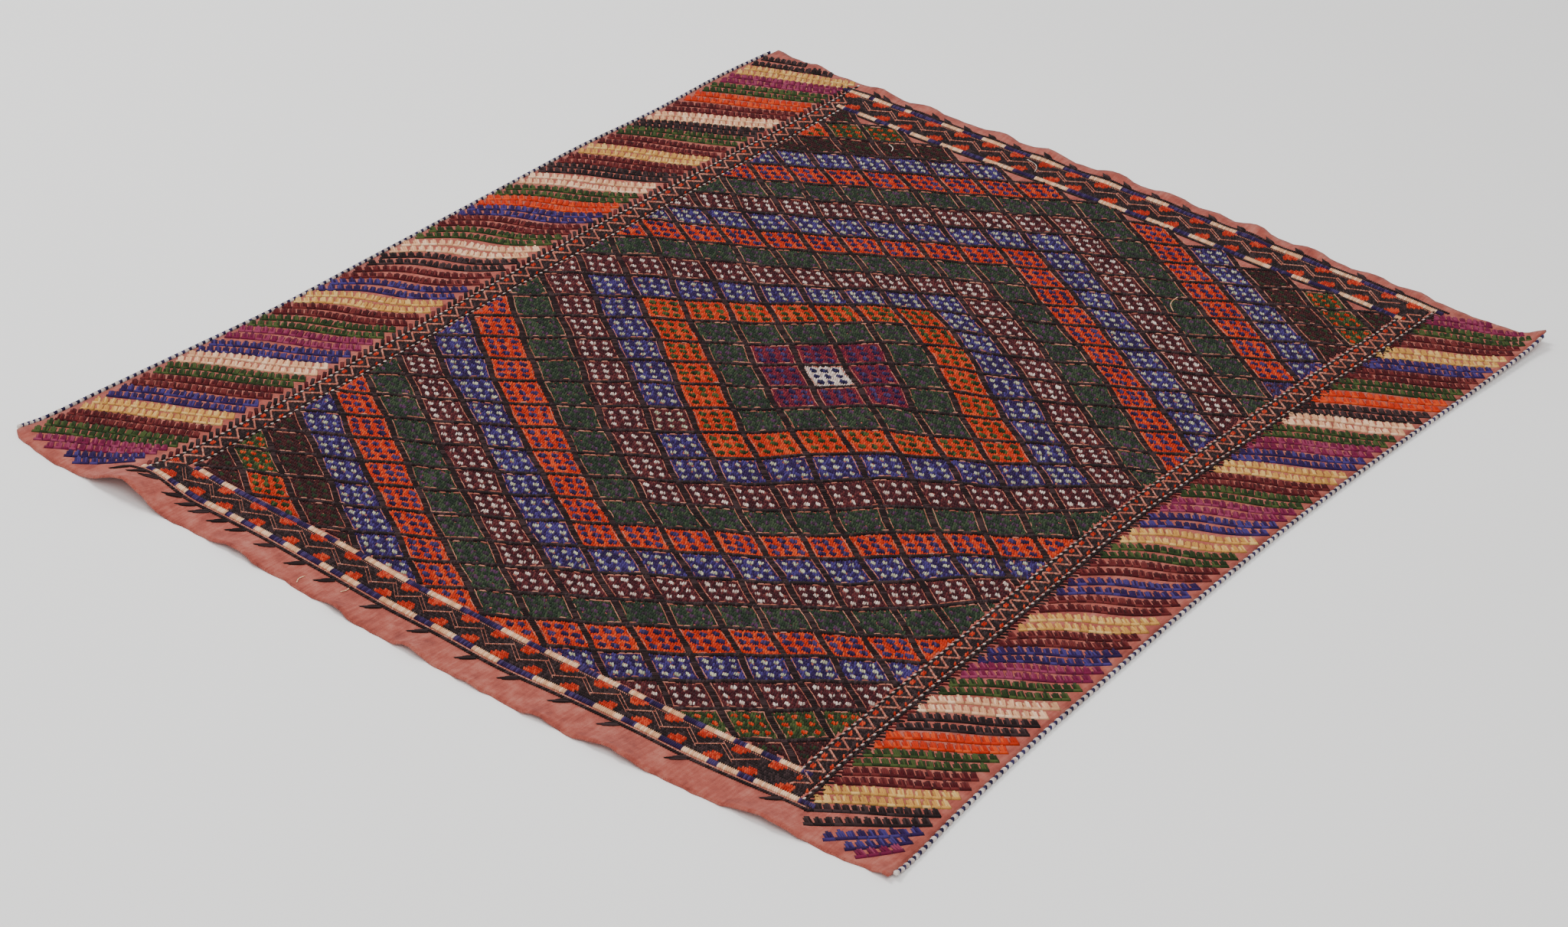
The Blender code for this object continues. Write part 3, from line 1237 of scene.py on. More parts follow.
    def cords(self) -> None:
        """Chart the lattice's wrapped cords and the pale outlines beside them."""
        rng = np.random.default_rng(self.seed + 2)
        depth = self.depth()
        for falls, thick, across in (
            (True, self.falling_width, self.rising_width),
            (False, self.rising_width, self.falling_width),
        ):
            aside = (thick / 2 + self.outline_away) / depth
            shown = np.array([self.outlined(ring.fill, falls) for ring in RINGS])
            lines = np.arange(-self.cells - 0.5, self.cells + 1.5)
            for line, shift in itertools.product(lines, (0.0, -aside, aside)):
                pitch = self.outline_pitch if shift else self.cord_pitch
                run = np.arange(-self.cells, self.cells, pitch / self.side())
                here = np.full_like(run, line + shift)
                i, j = (run, here) if falls else (here, run)
                x, y = self.place(i + j, i - j)
                ahead_x, ahead_y = self.place(i + j + 0.05, i - j + (0.05 if falls else -0.05))
                heading = np.degrees(np.arctan2(ahead_y - y, ahead_x - x))
                kept = self.inside(x, y, 0.5)
                if shift:
                    kept &= 0.5 - np.abs(run - np.round(run)) > across * 0.6 / depth
                    ring = self.pair_of(np.round(i), np.round(j))
                    kept &= rng.uniform(0, 1, run.size) < shown[ring]
                if not kept.any():
                    continue
                x, y, heading = x[kept], y[kept], heading[kept]
                if shift:
                    heading = heading + rng.normal(0, 4, x.size)
                    self.lay(Yarn.ROSE, x, y, heading, self.outline, "lattice_outlines")
                else:
                    wide = thick * (1 + 0.12 * np.sin(run[kept] * 7 + line * 3))
                    heading = heading + self.wrap_turn + rng.normal(0, 5, x.size)
                    wrap = Stitch(wide, self.wrap_width, self.wrap_height, self.cord_rise)
                    self.lay(Yarn.BLACK, x, y, heading, wrap, "lattice_cords")

    def make(self) -> None:
        """Lay the whole field."""
        self.fills()
        self.dots()
        self.cords()
        self.weave()


class Stripe(NamedTuple):
    """A stripe of a comb panel: its dye and its middle at both ends, in chart units."""

    dye: str
    left: float
    right: float


LEFT_STRIPES = (
    ("G", 45, 0), ("K", 106, 34), ("C", 158, 75), ("M", 205, 107), ("G", 255, 150),
    ("O", 305, 200), ("R", 360, 247), ("e", 415, 290), ("K", 455, 333), ("G", 492, 382),
    ("R", 538, 440), ("C", 590, 487), ("R", 642, 532), ("K", 690, 572), ("e", 742, 625),
    ("G", 800, 672), ("O", 850, 720), ("B", 898, 765), ("R", 945, 820), ("G", 998, 867),
    ("e", 1060, 922), ("K", 1115, 978), ("R", 1175, 1040), ("B", 1230, 1100),
    ("C", 1283, 1160), ("R", 1332, 1217), ("G", 1382, 1270), ("M", 1430, 1322),
    ("B", 1488, 1372), ("e", 1533, 1420), ("G", 1578, 1470), ("R", 1625, 1515),
    ("B", 1670, 1567), ("C", 1720, 1615), ("R", 1765, 1663), ("G", 1808, 1705),
    ("M", 1858, 1740), ("B", 1910, 1778),
)
RIGHT_STRIPES = (
    ("M", 118, 40), ("G", 160, 85), ("R", 213, 122), ("C", 266, 167), ("B", 312, 212),
    ("R", 357, 257), ("G", 403, 302), ("O", 455, 348), ("K", 508, 398), ("e", 550, 447),
    ("G", 597, 498), ("M", 645, 540), ("B", 692, 587), ("C", 738, 642), ("R", 785, 690),
    ("G", 829, 737), ("M", 880, 782), ("B", 936, 830), ("C", 990, 888), ("G", 1043, 942),
    ("R", 1098, 990), ("B", 1160, 1043), ("R", 1215, 1097), ("C", 1272, 1155),
    ("R", 1325, 1205), ("B", 1375, 1255), ("M", 1420, 1307), ("G", 1468, 1360),
    ("e", 1517, 1415), ("K", 1568, 1465), ("O", 1620, 1515), ("G", 1668, 1563),
    ("R", 1718, 1612), ("C", 1765, 1660), ("K", 1810, 1706), ("B", 1862, 1750),
    ("M", 1905, 1790),
)
LEFT_ENDS = (
    (60, 42, 220), (430, 47, 220), (700, 42, 218), (900, 50, 222), (1050, 56, 226),
    (1150, 61, 230), (1450, 62, 236), (1700, 60, 236), (1800, 56, 222),
)
RIGHT_ENDS = (
    (80, 1374, 1527), (300, 1364, 1520), (520, 1356, 1508), (850, 1350, 1497),
    (1100, 1352, 1497), (1300, 1366, 1503), (1550, 1371, 1509), (1700, 1377, 1520),
    (1810, 1387, 1526), (1850, 1416, 1524), (1905, 1444, 1518),
)
LEFT_BEND = ((300, 0.1), (700, 0.25), (880, 0.5), (1200, 0.45), (1400, 0.2), (1700, 0.1))
RIGHT_BEND = ((300, 0.1), (700, 0.2), (900, 0.35), (1200, 0.3), (1400, 0.2), (1700, 0.1))


@dataclass
class CombPanel(Brocade):
    """One side's panel: slanting stripes, each of two rows of comb teeth on a thick foot.

    The tables are in chart units, keyed by height: the places of the panel's left and right ends,
    and how strongly its rows bend. Each fin has its place, in shares of a tooth's pitch, and its
    length in millimetres.
    """

    stripes: tuple[tuple[str, float, float], ...]
    ends: tuple[tuple[float, float, float], ...]
    bend: tuple[tuple[float, float], ...]
    lean: float
    fins: tuple[tuple[float, float], ...]
    tooth_pitch: float = 9.1
    parts: tuple[float, float] = (-0.01, 0.49)
    foot_share: float = 1.1
    foot_width: float = 6.4
    foot_height: float = 1.9
    foot_back: float = 0.12
    fin_width: float = 3.8
    fin_height: float = 2.2
    fin_start: float = 2.0
    rise: float = -0.1
    seed: int = 21

    def row(self, left: float, right: float, rng: np.random.Generator) -> Places:
        """Space the teeth of one row from end to end, along its S bend.

        Args:
            left: Chart height of the row's left end.
            right: Chart height of its right end.
            rng: Draws the small slips of the teeth.

        Returns:
            The teeth's real places across and up the rug.
        """
        keys, starts, stops = np.array(self.ends, float).T
        heights, bends = np.array(self.bend, float).T
        x0, x1 = np.interp(left, keys, starts), np.interp(right, keys, stops)
        count = round((x1 - x0) / self.tooth_pitch)
        share = (np.arange(count) + 0.5 + rng.uniform(-0.08, 0.08, count)) / count
        strength = np.interp((left + right) / 2, heights, bends)
        eased = share + strength * np.sin(2 * math.pi * share) / (2 * math.pi)
        x, y = chart_x(x0 + (x1 - x0) * share), chart_y(left + (right - left) * eased)
        _, sy = self.loom.plan.square(x, y)
        keep = (sy < SQUARE_Y.top_end - 10) & (sy > SQUARE_Y.bottom_end + 14)
        return x[keep], y[keep]

    def make(self) -> None:
        """Lay every tooth of the panel: its stitch along the row, and the fins that stand on it."""
        rng = np.random.default_rng(self.seed)
        stripes = [Stripe(*stripe) for stripe in self.stripes]
        last = len(stripes) - 1
        for number, stripe in enumerate(stripes):
            before, after = stripes[max(number - 1, 0)], stripes[min(number + 1, last)]
            span = 2 if 0 < number < last else 1
            yarn = Yarn(stripe.dye)
            for part in self.parts:
                left = stripe.left + part * ((after.left - before.left) / span)
                right = stripe.right + part * ((after.right - before.right) / span)
                x, y = self.row(left, right, rng)
                if x.size < 3:
                    continue
                step_x, step_y = np.gradient(x), np.gradient(y)
                along, pitch = np.arctan2(step_y, step_x), np.hypot(step_y, step_x)
                long = pitch * self.foot_share
                foot = Stitch(long, self.foot_width, self.foot_height, self.rise)
                foot_x = x - np.cos(along) * self.foot_back * pitch
                foot_y = y - np.sin(along) * self.foot_back * pitch
                self.lay(yarn, foot_x, foot_y, np.degrees(along), foot)
                up = along + math.radians(90 + self.lean)
                for place, length in self.fins:
                    size = length * rng.normal(1, 0.06, x.size)
                    out = size / 2 - self.fin_start
                    fin_x = x + np.cos(along) * place * pitch + np.cos(up) * out
                    fin_y = y + np.sin(along) * place * pitch + np.sin(up) * out
                    heading = np.degrees(up) + rng.normal(0, 3, x.size)
                    fin = Stitch(size, self.fin_width, self.fin_height, self.rise)
                    self.lay(yarn, fin_x, fin_y, heading, fin)
        self.weave()


TWINED_LINES = (
    UpRow(SQUARE_X.panel_left, SQUARE_Y.bottom_outer + 5, SQUARE_Y.top_outer + 22, 5.1),
    UpRow(SQUARE_X.guard_left, SQUARE_Y.bottom_inner + 6, SQUARE_Y.top_inner - 6, 5.2),
    UpRow(SQUARE_X.guard_right, SQUARE_Y.bottom_inner + 6, SQUARE_Y.top_inner - 6, 5.3),
    UpRow(SQUARE_X.panel_right, SQUARE_Y.bottom_outer + 5, SQUARE_Y.top_outer + 2, 5.7),
)


@dataclass
class TwinedLines(Brocade):
    """Four two-colour twined lines that part the panels, guards and field."""

    white: Stitch = Stitch(5.4, 2.4, 2.8, -0.2)
    black: Stitch = Stitch(8.2, 3.0, 2.8, -0.2)
    aside: float = 1.2
    turn: float = -16.0

    def make(self) -> None:
        """Lay the four lines, white and black stitches by turns."""
        for line, *run in TWINED_LINES:
            x, y, heading = self.loom.plan.up_line(line + self.aside, *run)
            for first, yarn, stitch in ((0, Yarn.WHITE, self.white), (1, Yarn.BLACK, self.black)):
                pick = slice(first, None, 2)
                self.lay(yarn, x[pick], y[pick], heading[pick] + self.turn, stitch)
        self.weave(StitchShape.ROUND, 0.1)


@dataclass
class Guard(Brocade):
    """A narrow band beside the field: a rose zigzag between black triangles with red hearts."""

    left: float
    right: float
    first: float
    period: float
    row_pitch: float = 3.6
    stitch_pitch: float = 2.5
    zigzag_pitch: float = 2.4
    past_bottom: float = 24.0
    past_top: float = 26.0
    left_gap: float = 3.4
    right_gap: float = 2.6
    swing_from: float = 0.19
    swing_share: float = 0.64
    stitch: Stitch = Stitch(6.0, 3.3, 1.6)
    ground_gap: float = 1.6
    heart_gap: float = 2.5
    heart_height: float = 2.4
    left_heart_in: float = 7.0
    left_heart_radius: float = 3.6
    right_heart_in: float = 3.5
    right_heart_radius: float = 2.2
    rising: Stitch = Stitch(5.6, 1.9, 2.7)
    falling_width: float = 3.6
    seed: int = 31

    def swing(self, y: Row) -> Row:
        """The zigzag's place at a height of the drawing."""
        back = np.abs(((y - self.first) / self.period % 1) * 2 - 1)
        share = self.swing_from + self.swing_share * back
        return self.left + (self.right - self.left) * share

    def make(self) -> None:
        """Lay the guard's ground and hearts row by row, then the zigzag over them."""
        rng = np.random.default_rng(self.seed)
        low, high = SQUARE_Y.bottom_inner - self.past_bottom, SQUARE_Y.top_inner + self.past_top
        start, stop = self.left + self.left_gap, self.right - self.right_gap
        steps = np.arange(start, stop, self.stitch_pitch)
        sx, sy = crossed(steps, np.arange(low, high, self.row_pitch))
        x, y = self.loom.plan.real(sx, sy)
        away = np.abs(sx - self.swing(sy))
        turn = (sy - self.first) / self.period
        from_left = sx - self.left - self.left_heart_in
        from_left = np.hypot((turn - np.round(turn)) * self.period, from_left)
        turn += 0.5
        from_right = self.right - self.right_heart_in - sx
        from_right = np.hypot((turn - np.round(turn)) * self.period, from_right)
        heart = (from_left < self.left_heart_radius) | (from_right < self.right_heart_radius)
        for yarn, mine, height in (
            (Yarn.RED_ORANGE, heart & (away > self.heart_gap), self.heart_height),
            (Yarn.BLACK, ~heart & (away > self.ground_gap), self.stitch.height),
        ):
            heading = SLANT + rng.normal(0, 5, int(mine.sum()))
            self.lay(yarn, x[mine], y[mine], heading, self.stitch._replace(height=height))
        turns = np.arange(low, high, self.zigzag_pitch)
        x, y = self.loom.plan.real(self.swing(turns), turns)
        falls = ((turns - self.first) / self.period) % 1 < 0.5
        zigzag = self.rising._replace(width=np.where(falls, self.falling_width, self.rising.width))
        self.lay(Yarn.ROSE, x, y, heading_along(x, y), zigzag)
        self.weave()


@dataclass
class EdgeBars(Brocade):
    """Short black bars beside the outer twined lines, and the dark chain by the right panel."""

    left_row: UpRow = UpRow(SQUARE_X.panel_left - 6.5, -698, 684, 10.6)
    left_bar: Stitch = Stitch(15.5, 4.8, 2.6)
    left_heading: float = 132.0
    left_up: float = 5.0
    left_dark: float = 0.8
    chain: UpRow = UpRow(SQUARE_X.panel_right + 3.8, -706, 690, 4.0)
    link: Stitch = Stitch(6.0, 3.0, 2.2)
    link_turn: float = 20.0
    right_row: UpRow = UpRow(SQUARE_X.panel_right + 8.5, -704, 690, 7.2)
    right_bar: Stitch = Stitch(10.5, 2.3, 2.2)
    right_heading: float = 36.0
    right_dark: float = 0.7
    seed: int = 41

    def make(self) -> None:
        """Lay the bars and the chain."""
        rng = np.random.default_rng(self.seed)
        up_line = self.loom.plan.up_line
        x, y, _ = up_line(*self.left_row)
        dark = rng.uniform(0, 1, x.size) < self.left_dark
        for yarn, mine in ((Yarn.BLACK, dark), (Yarn.MAROON, ~dark)):
            heading = self.left_heading + rng.normal(0, 4, int(mine.sum()))
            self.lay(yarn, x[mine], y[mine] + self.left_up, heading, self.left_bar)
        x, y, heading = up_line(*self.chain)
        self.lay(Yarn.BLACK, x, y, heading + self.link_turn, self.link)
        x, y, _ = up_line(*self.right_row)
        dark = rng.uniform(0, 1, x.size) < self.right_dark
        for yarn, mine in ((Yarn.BLACK, dark), (Yarn.MAROON, ~dark)):
            self.lay(yarn, x[mine], y[mine], self.right_heading, self.right_bar)
        self.weave()


TOP_OUTER_RIB = (
    230, 270, 280, 315, 342, 355, 418, 460, 500, 545, 598, 660, 712, 773, 822, 864, 945, 995,
    1060, 1120, 1170, 1228, 1290, 1364,
)
TOP_INNER_RIB = (
    262, 292, 328, 355, 375, 400, 437, 460, 503, 547, 603, 647, 710, 770, 822, 860, 912, 942, 992,
    1048, 1095, 1137, 1166, 1220, 1282, 1322,
)
BOTTOM_INNER_RIB = (
    285, 302, 323, 348, 372, 511, 541, 560, 598, 618, 696, 733, 790, 860, 905, 936, 988, 1020,
    1054, 1072, 1096, 1124, 1157, 1190, 1234, 1252, 1278, 1303, 1335,
)
BOTTOM_OUTER_RIB = (
    236, 255, 268, 297, 312, 330, 365, 402, 412, 432, 458, 486, 513, 540, 582, 602, 623, 655, 695,
    757, 788, 827, 859, 905, 962, 1013, 1056, 1101, 1123, 1160, 1197, 1237, 1252, 1280, 1304, 1370,
)


@dataclass
class BarberRib(Brocade):
    """A raised rib wrapped in lengths of ecru and of violet yarn by turns, with a thread along its
    lower side: a rose edge yarn, and under the top inner rib a wide black painted shadow.
    """

    square_y: float
    ends: tuple[float, ...]
    yarns: tuple[Yarn, Yarn]
    wrap_pitch: float = 2.4
    width: float = 10.4
    height: float = 4.4
    turn: float = 98.0
    wrap_share: float = 1.5
    # the lower thread is the rib's rose edge yarn; when it is given in black, it is a painted shadow
    # under the rib
    lower_thread_and_shadow: Yarn = Yarn.ROSE
    lower_thread_and_shadow_width: float = 2.8
    lower_thread_and_shadow_length: float = 3.6
    lower_thread_and_shadow_height: float = 2.6
    lower_thread_and_shadow_gap: float = 1.0

    def make(self) -> None:
        """Lay the wraps, and a thread along the rib's lower side; where that thread is black, it is
        a painted shadow under the rib.
        """
        ends = chart_x(self.ends)
        x, y = self.loom.plan.across_line(self.square_y, ends[0], ends[-1], self.wrap_pitch)
        heading = heading_along(x, y)
        length = np.searchsorted(ends, x) - 1
        wrap = Stitch(self.width, self.wrap_pitch * self.wrap_share, self.height)
        for number, yarn in enumerate(self.yarns):
            mine = length % 2 == number
            self.lay(yarn, x[mine], y[mine], heading[mine] + self.turn, wrap)
        thread = Stitch(self.lower_thread_and_shadow_length, self.lower_thread_and_shadow_width, self.lower_thread_and_shadow_height)
        self.lay(self.lower_thread_and_shadow, x, y - self.width / 2 - self.lower_thread_and_shadow_gap, heading, thread)
        self.weave(StitchShape.ROUND, 0.4)


class Triangles(NamedTuple):
    """The two rows of orange triangles of an end band, by their middles in chart units."""

    upper: tuple[float, ...]
    lower: tuple[float, ...]


TOP_TRIANGLES = Triangles(
    (245, 302, 355, 410, 470, 525, 580, 636, 690, 745, 812, 868, 928, 990, 1045, 1105, 1165, 1225,
     1285, 1332),
    (268, 330, 378, 438, 492, 555, 605, 668, 712, 780, 842, 900, 958, 1015, 1075, 1135, 1190, 1252,
     1310),
)
BOTTOM_TRIANGLES = Triangles(
    (260, 312, 366, 425, 480, 538, 602, 665, 708, 757, 815, 868, 920, 982, 1038, 1095, 1150, 1203,
     1255, 1310),
    (282, 335, 388, 448, 512, 570, 632, 688, 731, 787, 842, 895, 948, 1008, 1068, 1122, 1177, 1232,
     1285, 1340),
)


@dataclass
class EndBand(Brocade):
    """The band between two ribs: black, with orange triangles and a fine rose zigzag."""

    high_y: float
    low_y: float
    triangles: Triangles
    zigzag_width: float = 1.3
    swing: float = 8.0
    row_pitch: float = 3.9
    stitch_pitch: float = 2.6
    half_base: float = 9.5
    tall_share: float = 0.31
    lean: float = 0.45
    low_gap: float = 6.5
    high_gap: float = 6.0
    left_gap: float = 5.0
    right_gap: float = 4.0
    past_guards: float = 26.0
    stitch: Stitch = Stitch(5.8, 3.4, 1.7)
    orange_height: float = 2.2
    zigzag_length: float = 5.0
    zigzag_height: float = 2.3
    line_gap: float = 2.2
    back_share: float = 0.6
    seed: int = 51

    def ground(self, low: float, high: float) -> None:
        """Chart the band's rows, orange in its triangles and black between them.

        Args:
            low: Where the lowest row is on the drawing.
            high: Where the highest row is.
        """
        rng = np.random.default_rng(self.seed)
        rows = np.linspace(low, high, round((high - low) / self.row_pitch) + 1)
        start, stop = SQUARE_X.panel_left + self.left_gap, SQUARE_X.panel_right - self.right_gap
        sx, sy = crossed(np.arange(start, stop, self.stitch_pitch), rows)
        x, y = self.loom.plan.real(sx, sy)
        tall = (high - low) * self.tall_share
        orange = np.zeros(x.size, bool)
        for middles, from_base, lean in (
            (self.triangles.upper, high - sy, self.lean),
            (self.triangles.lower, sy - low, -self.lean),
        ):
            reach = self.half_base * np.sqrt(np.clip(1 - (from_base / tall) ** 2, 0, 1))
            for middle in middles:
                orange |= np.abs(x + lean * from_base - chart_x(middle)) < reach
        inside = (sx > SQUARE_X.guard_left - self.past_guards) & (
            sx < SQUARE_X.guard_right + self.past_guards
        )
        for yarn, mine, height in (
            (Yarn.RED_ORANGE, orange & inside, self.orange_height),
            (Yarn.BLACK, ~orange, self.stitch.height),
        ):
            heading = SLANT + rng.normal(0, 5, int(mine.sum()))
            self.lay(yarn, x[mine], y[mine], heading, self.stitch._replace(height=height))

    def make(self) -> None:
        """Lay the band's rows, then its zigzag from gap to gap between the triangles."""
        low, high = self.low_y + self.low_gap, self.high_y - self.high_gap
        self.ground(low, high)
        starts, targets = (
            (row[:-1] + row[1:]) / 2 for row in (np.array(row, float) for row in self.triangles)
        )
        share = np.linspace(0, 1, 9)
        for start, after in zip(starts, starts[1:]):
            ahead = targets[(targets > start) & (targets < after)]
            if not ahead.size:
                continue
            gap, wide = self.line_gap, self.zigzag_width
            for u0, u1, rise, lines, width in (
                (start, ahead[0], self.swing, (-gap, gap), wide),
                (ahead[0], after, -self.swing, (0.0,), wide * self.back_share),
            ):
                for line in lines:
                    x = chart_x(u0 + (u1 - u0) * share)
                    up = (low + high) / 2 + rise * (1 - 2 * share) + line
                    _, y = self.loom.plan.real(x, up)
                    stitch = Stitch(self.zigzag_length, width, self.zigzag_height)
                    self.lay(Yarn.ROSE, x, y, heading_along(x, y), stitch)
        self.weave()


@dataclass
class EndLine(Brocade):
    """The black line outside an outer rib, with its short forks over the plain end."""

    square_y: float
    away: float
    forks: tuple[float, ...]
    fork_heading: float
    fork_length: float
    fork_width: float
    reach: tuple[float, float] = (222, 1372)
    pitch: float = 3.1
    turn: float = 75.0
    stitch: Stitch = Stitch(6.0, 3.5, 2.2)
    fork_height: float = 2.4
    strands: tuple[tuple[float, float], ...] = ((-2.0, 0.65), (0.0, 1.0), (2.0, 0.8))

    def make(self) -> None:
        """Lay the line and its forks."""
        plan = self.loom.plan
        x, y = plan.across_line(self.square_y, *chart_x(self.reach), self.pitch)
        y = y + self.away
        self.lay(Yarn.BLACK, x, y, heading_along(x, y) + self.turn, self.stitch)
        roots = chart_x(self.forks)
        _, root_y = plan.real(roots, np.full_like(roots, self.square_y))
        turn = math.radians(self.fork_heading)
        for aside, share in self.strands:
            size = self.fork_length * share
            strand = Stitch(size, self.fork_width, self.fork_height)
            x = roots + math.cos(turn) * size / 2 - math.sin(turn) * aside
            y = root_y + self.away + math.sin(turn) * size / 2 + math.cos(turn) * aside
            self.lay(Yarn.BLACK, x, y, self.fork_heading, strand)
        self.weave(StitchShape.ROUND, 0.15)


class LooseEnd(NamedTuple):
    """A loose thread: its yarn, both its ends in chart units, its bow and rise in millimetres."""

    yarn: Yarn
    x0: float
    y0: float
    x1: float
    y1: float
    bow: float
    rise: float


LOOSE_ENDS = (
    LooseEnd(Yarn.WHITE, 604, 108, 634, 134, 6, 1.6),
    LooseEnd(Yarn.WHITE, 402, 228, 418, 244, 3, 1.6),
    LooseEnd(Yarn.ECRU, 1040, 350, 1057, 390, -5, 1.5),
    LooseEnd(Yarn.ECRU, 589, 1861, 587, 1845, 2, 0.0),
    LooseEnd(Yarn.ECRU, 648, 1839, 648, 1823, -2, 0.0),
)


@dataclass
class LooseThreads(Brocade):
    """The few thread ends that have worked loose and lie on the face."""

    width: float = 1.5
    height: float = 1.4
    stitches: int = 9
    overlap: float = 1.6

    def make(self) -> None:
        """Lay each thread as a bowed row of short lengths."""
        share = np.linspace(0, 1, self.stitches)
        for end in LOOSE_ENDS:
            x = chart_x(end.x0 + (end.x1 - end.x0) * share)
            y = chart_y(end.y0 + (end.y1 - end.y0) * share)
            turn = math.atan2(y[-1] - y[0], x[-1] - x[0])
            aside = end.bow * np.sin(math.pi * share)
            x, y = x - math.sin(turn) * aside, y + math.cos(turn) * aside
            length = np.hypot(np.gradient(x), np.gradient(y)) * self.overlap
            stitch = Stitch(length, self.width, self.height, end.rise)
            self.lay(end.yarn, x, y, heading_along(x, y), stitch)
        self.weave(StitchShape.ROUND)


@dataclass
class Selvedge(Brocade):
    """An edge cord overcast with white and dark yarn by turns, two wraps of each."""

    square_x: float
    pair_pitch: float = 11.1
    diameter: float = 6.0
    bottom_setback: float = 9.5
    top_setback: float = 9.0
    proud: float = 1.02
    white_width: float = 6.4
    dark_width: float = 4.2
    turn: float = 32.0

    def make(self) -> None:
        """Lay the wraps as overlapping beads, in place of the CAD cord."""
        low = SQUARE_Y.bottom_end + self.bottom_setback
        high = SQUARE_Y.top_end - self.top_setback
        x, y, heading = self.loom.plan.up_line(self.square_x, low, high, self.pair_pitch / 4)
        for yarn, width, first in (
            (Yarn.ASH, self.white_width, 0),
            (Yarn.ASH, self.white_width, 1),
            (Yarn.NAVY, self.dark_width, 2),
            (Yarn.NAVY, self.dark_width, 3),
        ):
            pick = slice(first, None, 4)
            stitch = Stitch(self.diameter * self.proud, width, self.diameter)
            self.lay(yarn, x[pick], y[pick], heading[pick] + self.turn, stitch)
        for piece in self.weave(StitchShape.ROUND, 0.5, "overcast_wool"):
            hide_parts(self.name)


@dataclass(frozen=True)
class Studio:
    """The pale floor, the soft lights and the camera."""

    place: tuple[float, float, float] = (1.9934, -3.0002, 2.0803)
    yaw: float = 124.08
    pitch: float = -31.28
    roll: float = 4.807
    lens: float = 79.46
    floor_half: float = 9.0
    room_light: float = 0.8

    def camera(self) -> None:
        """Set the camera where the rug is seen from."""
        data = bpy.data.cameras.new("camera")
        data.lens = self.lens
        data.sensor_width = 36.0
        yaw, pitch, roll = (math.radians(a) for a in (self.yaw, self.pitch, self.roll))
        level = (math.cos(pitch) * math.cos(yaw), math.cos(pitch) * math.sin(yaw))
        ahead = Vector((*level, math.sin(pitch)))
        right = ahead.cross(Vector((0, 0, 1))).normalized()
        up = right.cross(ahead)
        level_right = math.cos(roll) * right + math.sin(roll) * up
        level_up = math.cos(roll) * up - math.sin(roll) * right
        turn = Matrix((level_right, level_up, -ahead)).transposed().to_4x4()
        camera = add_object("camera", data)
        camera.matrix_world = Matrix.Translation(self.place) @ turn
        bpy.context.scene.camera = camera

    def floor(self) -> None:
        """Lay a matt pale floor."""
        mesh = bpy.data.meshes.new("studio_floor")
        half = self.floor_half
        corners = [(-half, -half, 0), (half, -half, 0), (half, half, 0), (-half, half, 0)]
        mesh.from_pydata(corners, [], [(0, 1, 2, 3)])
        mesh.materials.append(StudioPaper().make())
        add_object("studio_floor", mesh)

    def lights(self) -> None:
        """Hang a soft light on the left and one in front on the right, and light the room."""
        world = bpy.data.worlds.new("studio")
        world.use_nodes = True
        light = {"Color": (1, 1, 1, 1), "Strength": self.room_light}
        fill_inputs(world.node_tree.nodes["Background"], light)
        bpy.context.scene.world = world
        for name, place, size, power in (
            ("key_softbox", (-2.3, -0.1, 3.8), 1.6, 128.0),
            ("fill_softbox", (1.7, -2.4, 3.6), 2.5, 76.0),
        ):
            data = bpy.data.lights.new(name, "AREA")
            data.shape = "DISK"
            data.size = size
            data.energy = power
            lamp = add_object(name, data)
            lamp.location = place
            lamp.rotation_euler = (-Vector(place)).to_track_quat("-Z", "Y").to_euler()


TOP_FORKS = (
    285, 305, 350, 405, 430, 470, 520, 570, 630, 680, 745, 785, 840, 900, 950, 1005, 1060, 1115,
    1165, 1230, 1300,
)
BOTTOM_FORKS = (
    235, 268, 290, 335, 360, 385, 420, 455, 510, 568, 625, 712, 795, 880, 950, 1030, 1108, 1215,
    1355,
)


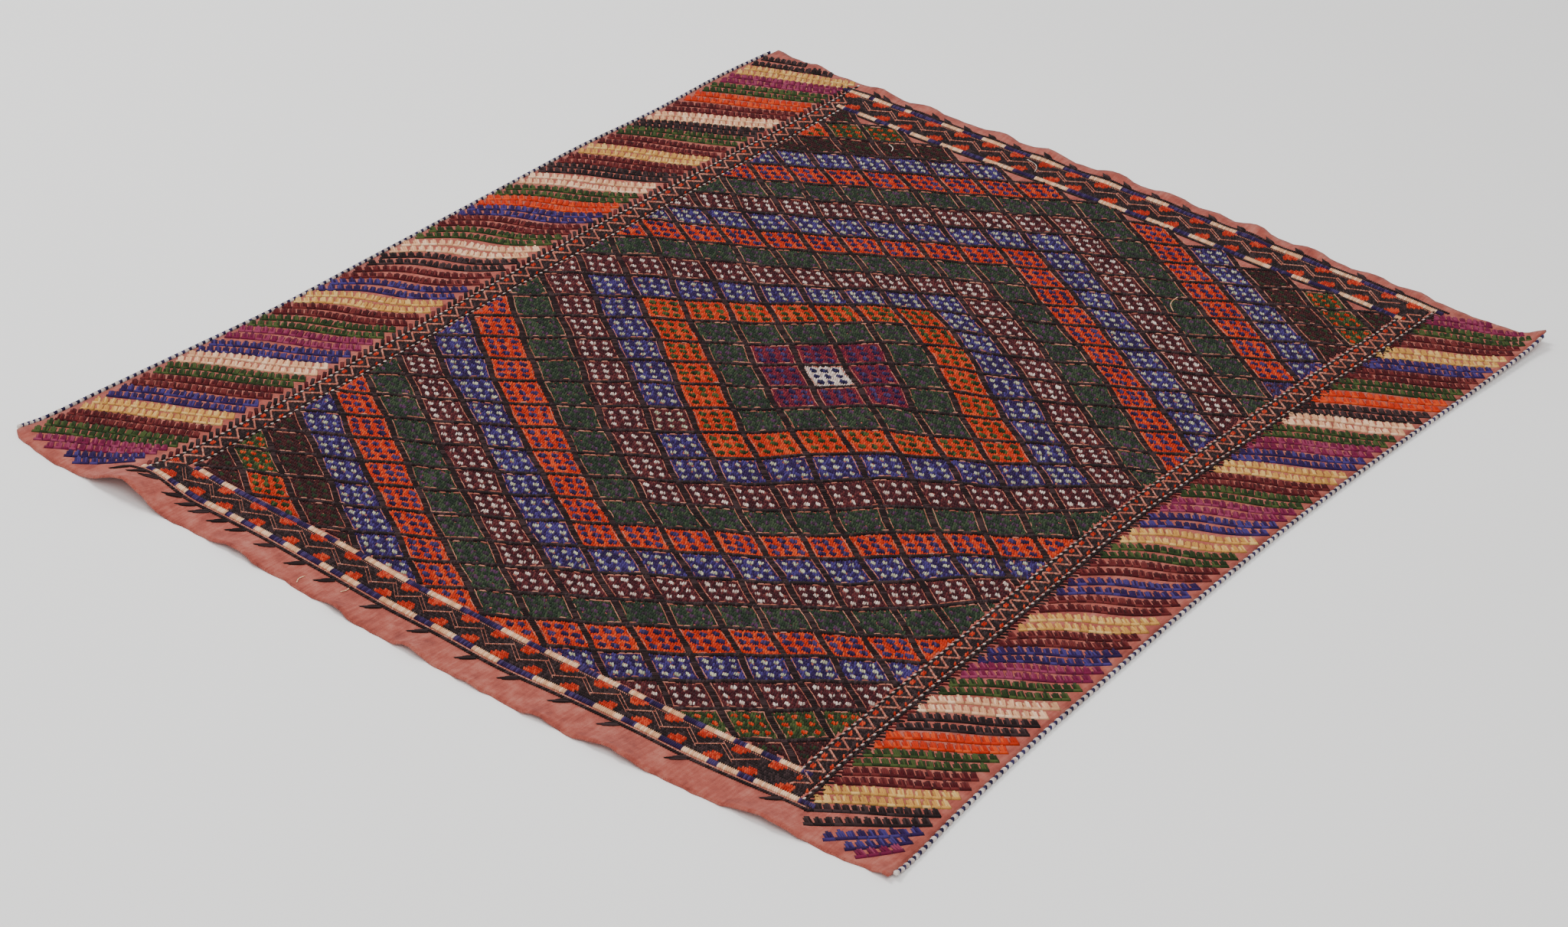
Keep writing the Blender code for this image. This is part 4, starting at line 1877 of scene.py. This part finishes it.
def brocade(loom: Loom) -> list[Brocade]:
    """List every part of the pattern in the order in which it is laid.

    Args:
        loom: Weaves them.

    Returns:
        The parts.
    """
    x, y = SQUARE_X, SQUARE_Y
    pale_first, dark_first = (Yarn.ECRU, Yarn.VIOLET), (Yarn.VIOLET, Yarn.ECRU)
    return [
        DiamondField(loom, "field"),
        CombPanel(
            loom, "left_combs", LEFT_STRIPES, LEFT_ENDS, LEFT_BEND, 4.0,
            ((-0.24, 13.0), (0.0, 16.5), (0.22, 14.0)),
        ),
        CombPanel(
            loom, "right_combs", RIGHT_STRIPES, RIGHT_ENDS, RIGHT_BEND, 10.0,
            ((-0.24, 12.5), (0.0, 15.5), (0.22, 14.0)),
        ),
        TwinedLines(loom, "twined_lines"),
        EdgeBars(loom, "edge_bars"),
        Guard(loom, "left_guard", x.panel_left, x.guard_left, -665.8, 28.05),
        Guard(loom, "right_guard", x.guard_right, x.panel_right, -673.4, 23.9),
        BarberRib(loom, "top_outer_rib", y.top_outer, TOP_OUTER_RIB, pale_first, width=12.0),
        BarberRib(
            loom, "top_inner_rib", y.top_inner, TOP_INNER_RIB, dark_first,
            # the wide black thread along this rib's lower side is a painted shadow that the rib
            # casts
            width=12.0, lower_thread_and_shadow=Yarn.BLACK, lower_thread_and_shadow_width=6.0,
        ),
        BarberRib(loom, "bottom_inner_rib", y.bottom_inner, BOTTOM_INNER_RIB, dark_first),
        BarberRib(loom, "bottom_outer_rib", y.bottom_outer, BOTTOM_OUTER_RIB, pale_first),
        EndBand(loom, "top_band", y.top_outer, y.top_inner, TOP_TRIANGLES),
        EndBand(loom, "bottom_band", y.bottom_inner, y.bottom_outer, BOTTOM_TRIANGLES, 0.9),
        EndLine(loom, "top_line", y.top_outer, 7.5, TOP_FORKS, 151, 21, 3.6),
        EndLine(loom, "bottom_line", y.bottom_outer, -9.5, BOTTOM_FORKS, 222, 28, 3.1),
        LooseThreads(loom, "loose_threads"),
        Selvedge(loom, "selvedge_left", x.left),
        Selvedge(loom, "selvedge_right", x.right),
    ]


def main() -> None:
    """Build the rug's looks in the order in which it is made, and report each piece."""
    logging.basicConfig(level=logging.INFO, format="%(message)s", stream=sys.stdout)
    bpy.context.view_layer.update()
    studio = Studio()
    studio.camera()
    studio.floor()
    studio.lights()
    plan = RugPlan()
    cloth = GroundCloth(plan).make()
    wools = {yarn: finish.make() for yarn, finish in YARNS.items()}
    loom = Loom(plan, StitchNodes().build(), wools)
    for part in brocade(loom):
        part.make()
    faces = sum(len(piece.data.polygons) for piece in loom.pieces)
    log.info("%d pieces of brocade, %d faces", len(loom.pieces), faces)


if __name__ == "__main__":
    main()
